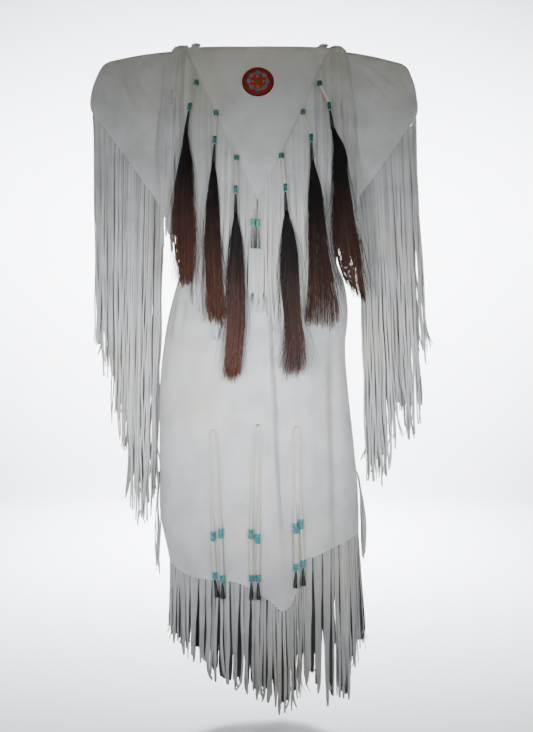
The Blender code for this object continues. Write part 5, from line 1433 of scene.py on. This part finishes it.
class DRESS_OT_centre_drops(bpy.types.Operator):
    """Two short drops of beads and bright cones below the point of the yoke"""
    bl_idname = "dress.centre_drops"
    bl_label = "Centre drops"

    def execute(self, context):
        chance = np.random.default_rng(16)
        glass = glass_bead("Sea-green glass", paint("#55A595"))
        bright = rolled_tin("Bright rolled tin", paint("#9A9F9C"))
        for side_name, (x, z, shift_x, shift_y) in CENTRE_DROPS.items():
            # Both hang side by side, over the fringe behind them
            shift = np.array((shift_x, shift_y, 0.0))
            top, low = (end + shift for end in ends_of(f"centre_drop_{side_name}_cone"))
            points = node_points(f"centre_drop_{side_name}_beads")
            start = root_of(points) + FRONTWARD * 0.0012
            middle = bead_at(points, x, z, 0.006, 0.007) + shift
            middles = [middle + DOWN * away for away in (-0.0036, 0.0036)]
            pair = beads_on(f"centre_drop_{side_name}_glass", middles, [DOWN, DOWN], *CENTRE_BEAD)
            settled(pair, glass, "turquoise_beads", f"centre_drop_{side_name}_beads")
            path = through([start, (start + middle) / 2, middle, top, top + DOWN * 0.005], 16)
            lace(f"centre_drop_{side_name}_lace", path, CENTRE_LACE, chance)
            cone = rolled_cone(f"centre_drop_{side_name}_tin_cone_0", top, low, *CENTRE_CONE)
            settled(cone, bright, "tin_cones", f"centre_drop_{side_name}_cone")
        return {"FINISHED"}


class DRESS_OT_skirt_laces(bpy.types.Operator):
    """Three laces down the skirt, each in two legs with stacks of beads and cones"""
    bl_idname = "dress.skirt_laces"
    bl_label = "Skirt laces"

    def execute(self, context):
        chance = np.random.default_rng(17)
        drops = context.scene.dress_drops
        glass = glass_bead("Turquoise glass", drops.bead)
        tin = once("Darkened rolled tin", rolled_tin, paint(DARK_TIN))
        for name, legs in SKIRT_LACES.items():
            points = node_points(f"skirt_lace_{name}_beads")
            tall, short, lines = [], [], []
            for number, (bridge_x, bridge_z, high_x, high_z, low_x, low_z) in enumerate(legs, 1):
                top, low = ends_of(f"skirt_lace_{name}_cone_{number}")
                high = bead_at(points, high_x, high_z, 0.006, 0.009)
                lower = bead_at(points, low_x, low_z, 0.005, 0.006)
                tall += [high + DOWN * away for away in (0.0050, -0.0050)]
                short += [lower + DOWN * away for away in (0.0035, -0.0035)]
                share = np.array((0.0, 0.3, 0.65))
                x = bridge_x * (1 - share) + high_x * share
                z = between((bridge_z, high_z), share)
                upper = np.stack([x, -depth("front", x, z) - 0.0020, z], axis=-1)
                cone = rolled_cone(f"skirt_lace_{name}_tin_cone_{number}_0", top, low, *SKIRT_CONE)
                settled(cone, tin, "tin_cones", f"skirt_lace_{name}_cone_{number}")
                lines.append(np.concatenate([upper, [high, lower, top + DOWN * 0.005]]))
            line = through(np.concatenate([lines[0][::-1], lines[1]]), 96)
            hide_y = -stands_out(SHARED["under"], line[..., 0], line[..., 2]) - 0.0013
            line[..., 1] = np.minimum(line[..., 1], hide_y)
            lace(f"skirt_lace_{name}_thong", line, SKIRT_LACE, chance)
            beads = beads_on(f"skirt_lace_{name}_tall_beads", tall, [DOWN] * len(tall),
                             drops.bead_radius, TALL_LENGTH)
            settled(beads, glass, "turquoise_beads", f"skirt_lace_{name}_beads")
            beads = beads_on(f"skirt_lace_{name}_short_beads", short, [DOWN] * len(short),
                             drops.bead_radius * 0.95, SHORT_LENGTH)
            settled(beads, glass, "turquoise_beads")
        return {"FINISHED"}


# Rosette and ties

STAR_POINTS = 8
ROSETTE_LIFT = 0.0034 + 0.0022      # the yoke's outside and the backing, from the body's surface
BEAD_COLOURS = ("#AE2C22", "#8598A6", "#D2452A", "#6F7F3A", "#D8D2C2")


class DRESS_OT_rosette(bpy.types.Operator):
    """Rosette of seed beads sewn in rings on a round of felt"""
    bl_idname = "dress.rosette"
    bl_label = "Rosette"

    def execute(self, context):
        chance = np.random.default_rng(18)
        sizes = context.scene.dress_rosette
        pitch = sizes.bead * 1.03
        rings = int((sizes.radius - sizes.bead * 0.4) / pitch)
        radius, angle = [np.zeros(1)], [np.zeros(1)]
        for ring in range(1, rings + 1):
            count = int(2 * math.pi * ring * pitch / (sizes.bead * 0.66))
            radius.append(np.full(count, ring * pitch))
            angle.append(np.arange(count) * 2 * np.pi / count + chance.uniform(0, 1))
        radius, angle = np.concatenate(radius), np.concatenate(angle)
        x = ROSETTE_X + radius * np.cos(angle)
        z = ROSETTE_Z + radius * np.sin(angle) * ROSETTE_TILT
        share = radius / sizes.radius
        dome = 0.0009 * (1 - share ** 2)
        normal = out_at(x, z)
        middles = on_body("front", x, z) + normal * (ROSETTE_LIFT + dome)[:, None]
        # Colours by number: a red border, a star's ground, its red middle, a green hub and pale specks
        star = 0.60 + 0.11 * np.abs((angle * STAR_POINTS / (2 * np.pi)) % 1 * 2 - 1)
        colour = np.where(share > star + 0.02, 0, 1)
        colour = np.where(share < 0.50 - 0.07 * np.cos(angle * STAR_POINTS), 2, colour)
        colour = np.where(share < 0.14, 3, colour)
        speck = (share > 0.30) & (share < 0.36) & (np.abs(np.cos(angle * 2)) > 0.93)
        colour = np.where(speck, 4, colour)
        # Each bead is a barrel lying along its ring
        rings, corners = 6, 8
        around = np.arange(corners) * 2 * np.pi / corners
        rise = np.linspace(0, np.pi, rings)
        tangent = unit(np.stack([-np.sin(angle), 0 * angle, np.cos(angle)], axis=-1))
        tangent = unit(tangent - normal * np.sum(tangent * normal, axis=-1, keepdims=True))
        outward = np.cross(tangent, normal)
        size = sizes.bead / 2
        sphere = (tangent[:, None, None] * np.cos(rise)[None, :, None, None] * 0.62
                  + (outward[:, None, None] * np.cos(around)[None, None, :, None]
                     + normal[:, None, None] * np.sin(around)[None, None, :, None])
                  * np.maximum(np.sin(rise), 0.30)[None, :, None, None])
        points = middles[:, None, None] + sphere * size
        values = {"colour": ((colour + 0.5) / len(BEAD_COLOURS))[:, None, None],
                  "strand": chance.uniform(0, 1, (len(middles), 1, 1))}
        faces = tube_faces(len(middles), rings, corners)
        piece = put_mesh("rosette_seed_beads", points, *faces, values, 60.0)
        settled(piece, seed_beads("Glass seed beads", [paint(code) for code in BEAD_COLOURS]),
                "seed_beads", "rosette")
        # The backing: a disc of rows round a small hole, its copy behind, and a wall at both rims
        rows, count = 10, 48
        turns = np.linspace(0, 2 * np.pi, count + 1)[:-1]
        reach = sizes.radius * np.linspace(0.02, 1.0, rows)[:, None]
        back_x = ROSETTE_X + reach * np.cos(turns)[None]
        back_z = ROSETTE_Z + reach * np.sin(turns)[None] * ROSETTE_TILT
        way = out_at(back_x, back_z)
        disc = on_body("front", back_x, back_z) + way * 0.0048
        points = np.concatenate([disc.reshape(-1, 3), (disc - way * 0.0012).reshape(-1, 3)])
        behind = rows * count
        index = np.arange(behind).reshape(rows, count)
        beside = np.roll(index, -1, axis=1)
        front = np.stack([index[:-1], index[1:], beside[1:], beside[:-1]], axis=-1).reshape(-1, 4)
        rims = [np.stack([line, np.roll(line, -1), np.roll(line, -1) + behind, line + behind], axis=-1)
                for line in (index[-1], index[0, ::-1])]
        quads = np.concatenate([front, front[:, ::-1] + behind, *rims])
        # Wool felt, dyed dark red: matt, and seen only between the beads
        felt, tree, shader, _ = finish_of("Dark red wool felt")
        feed(tree, shader, {"Base Color": opaque(paint("#3A0D0B")), "Roughness": 0.95})
        settled(put_mesh("rosette_backing", points, quads), felt, "seed_beads")
        return {"FINISHED"}


class DRESS_OT_ties(bpy.types.Operator):
    """Gathered thongs on the shoulders and small knots beside the neck"""
    bl_idname = "dress.ties"
    bl_label = "Shoulder ties and knots"

    def execute(self, context):
        chance = np.random.default_rng(19)
        rings, count = 22, 16
        below = [SHARED[key + "_piece"] for key in ("front", "back", "left", "right", "yoke")]
        for side_name, side in SIDES.items():
            low, high = (np.array(corner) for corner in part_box(f"shoulder_tie_{side_name}"))
            middle = (low + high) / 2
            places = np.linspace(-1.0, 1.0, count)[:, None]
            over = np.linspace(-1.0, 1.0, rings)[None, :]
            x = middle[0] + 0.0150 * places * (1 - 0.15 * over ** 2) + chance.normal(0, 0.0005, (count, 1))
            y = middle[1] + 0.008 + 0.027 * over + 0 * x
            swell = np.sqrt(1 - 0.92 * places ** 2) * chance.uniform(0.85, 1.0, (count, 1))
            # Where a ray falls between two hides, the height is that of the thongs beside it
            rest = top_of(below, x, y)
            beside = np.median(rest, axis=0)
            rest = np.where(rest < beside - 0.012, beside, rest)
            z = rest + 0.0016 + 0.0100 * swell * (1 - over ** 2) ** 0.8
            paths = np.stack([x, y, z], axis=-1)
            piece = ribbons(f"shoulder_tie_{side_name}_thongs", paths, SIDEWAYS,
                            np.full((count, rings), CHEST_LACE), LACE_WALL,
                            twists(count, rings, chance, 0.25), chance)
            settled(piece, hide_material(STRAND), "hide_fringe", f"shoulder_tie_{side_name}")
            low, high = (np.array(corner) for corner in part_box(f"neck_knot_{side_name}"))
            # Three turns of thong wound about the neck's edge, ending tucked in
            t = np.linspace(-1, 1, 60)
            reach = 0.0031 * (1 - 0.5 * t ** 4)
            turn_by = 3.2 * np.pi * t
            coil = np.stack([0.0082 * t, reach * np.cos(turn_by), reach * np.sin(turn_by)], axis=-1)
            knot = (low + high) / 2 + np.array((side * 0.0025, -0.0030, -0.0020)) + coil
            tube = round_tubes(f"neck_knot_{side_name}_thong", knot[None], np.full((1, len(t)), 0.0026), 8,
                               {"strand": 0.5, "run": 0.0})
            settled(tube, hide_material(STRAND), "hide_fringe", f"neck_knot_{side_name}")
        return {"FINISHED"}


class DRESS_OT_stitching(bpy.types.Operator):
    """A raised seam along the yoke's edges, and sinew stitches at the armholes and side seams"""
    bl_idname = "dress.stitching"
    bl_label = "Seams"

    def execute(self, context):
        chance = np.random.default_rng(20)
        drops = np.linspace(0.006, YOKE_FRINGE[1], 90)
        x = np.stack([side * (smooth(drops, YOKE, "half_width") - 0.0012) for side in SIDES.values()])
        z = height("front", x, drops)
        raised = on_body("front", x, z) + out_at(x, z) * (YOKE_LIFT + YOKE_WALL + 0.0008)
        width = np.full(x.shape, 0.0040) * (1 + 0.08 * np.sin(drops * 900))
        welt = ribbons("yoke_welt", raised, SIDEWAYS, width, 0.0012, np.zeros(x.shape), chance)
        settled(welt, hide_material(STRAND), "hide")
        # Stitches closer together at the armholes than down the sides
        stretches = ((slice(2, ARMHOLE_ROW + 1), 0.0048), (slice(ARMHOLE_ROW + 1, None), 0.0060))
        starts, ends = [], []
        for face in FACES:
            grid, normals = SHARED[face]
            for edge in (1, -2):
                for rows, pitch in stretches:
                    line = grid[rows, edge] + normals[rows, edge] * 0.0002
                    length = np.linalg.norm(np.diff(line, axis=0), axis=1).sum()
                    count = int(length / pitch)
                    places, half = evenly(count), 0.30 / count
                    starts.append(spread_along(line, places - half))
                    ends.append(spread_along(line, places + half))
        start, end = np.concatenate(starts), np.concatenate(ends)
        paths = between((start[:, None], end[:, None]), np.linspace(0, 1, 5)[:, None])
        radii = np.broadcast_to(0.00034 * np.array((0.5, 0.9, 1.0, 0.9, 0.5)), paths.shape[:2])
        piece = round_tubes("sinew_stitches", paths, radii, 5, {"strand": 0.2, "run": 0.0})
        settled(piece, hide_material(STRAND), "hide_fringe")
        return {"FINISHED"}


# Stage

class DRESS_OT_stage(bpy.types.Operator):
    """Pale floor and backdrop, soft lights and the camera"""
    bl_idname = "dress.stage"
    bl_label = "Stage"

    def execute(self, context):
        stage = context.scene.dress_stage
        # A round floor that curves up into a low wall, the same on every side
        floor_z, wall_z, reach, bend, count = -1.44, 2.6, 4.5, 0.9, 96
        angle = np.linspace(0, np.pi / 2, 16)
        radius = np.concatenate([[0.0, 1.5], reach - bend + bend * np.sin(angle), [reach]])
        z = np.concatenate([[floor_z, floor_z], floor_z + bend - bend * np.cos(angle), [wall_z]])
        around = np.arange(count) * 2 * np.pi / count
        grid = np.stack([radius[:, None] * np.cos(around), radius[:, None] * np.sin(around),
                         z[:, None] + 0 * around], axis=-1)
        index = np.arange(len(z) * count).reshape(len(z), count)
        beside = np.roll(index, -1, axis=1)
        quads = np.stack([index[:-1], index[1:], beside[1:], beside[:-1]], -1).reshape(-1, 4)
        mesh = bpy.data.meshes.new("studio_floor")
        mesh.from_pydata(grid.reshape(-1, 3).tolist(), [], quads.tolist())
        mesh.shade_smooth()
        floor = bpy.data.objects.new("studio_floor", mesh)
        context.scene.collection.objects.link(floor)
        # Matt card: an even pale ground, with clouds of some 0.3 m too faint to be seen as a pattern
        made, tree, shader, where = finish_of("Matt studio paper")
        fibre = node(tree, "ShaderNodeTexNoise", {"Vector": where, "Scale": 3.0})
        level = node(tree, "ShaderNodeMapRange", {"Value": fibre.outputs["Fac"], "To Min": 0.98,
                                                   "To Max": 1.0})
        shade = node(tree, "ShaderNodeVectorMath", {0: tuple(stage.floor), "Scale": level.outputs["Result"]},
                     operation="SCALE")
        feed(tree, shader, {"Base Color": shade.outputs[0], "Roughness": 0.95})
        mesh.materials.append(made)

        world = bpy.data.worlds.new("Studio surround")
        context.scene.world = world
        world.use_nodes = True
        feed(world.node_tree, world.node_tree.nodes["Background"],
             {"Color": opaque(paint("#F3F2E4")), "Strength": stage.surround})
        self.light("Left front light", stage.key, 0.40, (-0.46, -1.06, -0.66), (0.0, 0.0, -0.71), 60)
        self.light("Right front light", stage.side, 0.35, (0.40, -1.10, -0.66), (0.0, 0.0, -0.71), 60)
        self.light("High light", stage.side * 0.24, 0.7, (0.0, -0.35, 0.8), (0.0, 0.0, -0.1), 90, "#F0E6BE")
        for side in (-1, 1):
            self.light("Backdrop light", stage.backdrop, 1.2, (side * 2.9, 1.4, 0.5), (0.0, 4.5, 0.15), 78)
        self.light("Floor light", stage.backdrop * 0.8, 1.0, (0.0, 2.3, 2.4), (0.0, 2.0, -1.4), 64)

        # A level camera whose focal length is 905 pixels of the frame's 732 in height
        lens = bpy.data.cameras.new("Camera")
        lens.lens = 905.0 / 732.0 * 36.0
        lens.sensor_width = 36.0
        camera = bpy.data.objects.new("Camera", lens)
        camera.location = (0.018, -stage.distance, -0.6636)
        camera.rotation_euler = (math.pi / 2, 0.0, 0.0)
        context.scene.collection.objects.link(camera)
        context.scene.camera = camera
        return {"FINISHED"}

    @staticmethod
    def light(name, power, size, place, target, spread, tint="#F1F5FF"):
        """A square soft light at a place, turned to a target, its beam as wide as the spread."""
        lamp = bpy.data.lights.new(name, "AREA")
        lamp.energy = power
        lamp.size = size
        lamp.spread = math.radians(spread)
        lamp.color = paint(tint)
        holder = bpy.data.objects.new(name, lamp)
        holder.location = place
        holder.visible_camera = False
        way = Vector(target) - Vector(place)
        holder.rotation_euler = way.to_track_quat("-Z", "Y").to_euler()
        bpy.context.scene.collection.objects.link(holder)


OPERATORS = (
    DRESS_OT_stage, DRESS_OT_hides, DRESS_OT_sleeves, DRESS_OT_yoke, DRESS_OT_hem_fringe,
    DRESS_OT_sleeve_fringe, DRESS_OT_chest_fringe, DRESS_OT_side_fringe, DRESS_OT_chest_drops,
    DRESS_OT_centre_drops, DRESS_OT_skirt_laces, DRESS_OT_rosette, DRESS_OT_ties,
    DRESS_OT_stitching,
)


class DRESS_PT_panel(bpy.types.Panel):
    """Lists the settings and the pieces of the dress"""
    bl_idname = "DRESS_PT_panel"
    bl_label = "Buckskin dress"
    bl_space_type = "VIEW_3D"
    bl_region_type = "UI"
    bl_category = "Dress"

    def draw(self, context):
        for holder, group in SETTINGS.items():
            box = self.layout.box()
            for name in group.__annotations__:
                box.prop(getattr(context.scene, holder), name)
        for operator in OPERATORS:
            self.layout.operator(operator.bl_idname)


def register():
    """Add the settings, the operators and the panel."""
    for holder, group in SETTINGS.items():
        bpy.utils.register_class(group)
        setattr(bpy.types.Scene, holder, bpy.props.PointerProperty(type=group))
    for made in (*OPERATORS, DRESS_PT_panel):
        bpy.utils.register_class(made)


def unregister():
    """Take them away again."""
    for made in (DRESS_PT_panel, *reversed(OPERATORS)):
        bpy.utils.unregister_class(made)
    for holder, group in SETTINGS.items():
        delattr(bpy.types.Scene, holder)
        bpy.utils.unregister_class(group)


def main():
    """Build every piece in order."""
    register()
    for operator in OPERATORS:
        family, name = operator.bl_idname.split(".")
        getattr(getattr(bpy.ops, family), name)()


if __name__ == "__main__":
    main()
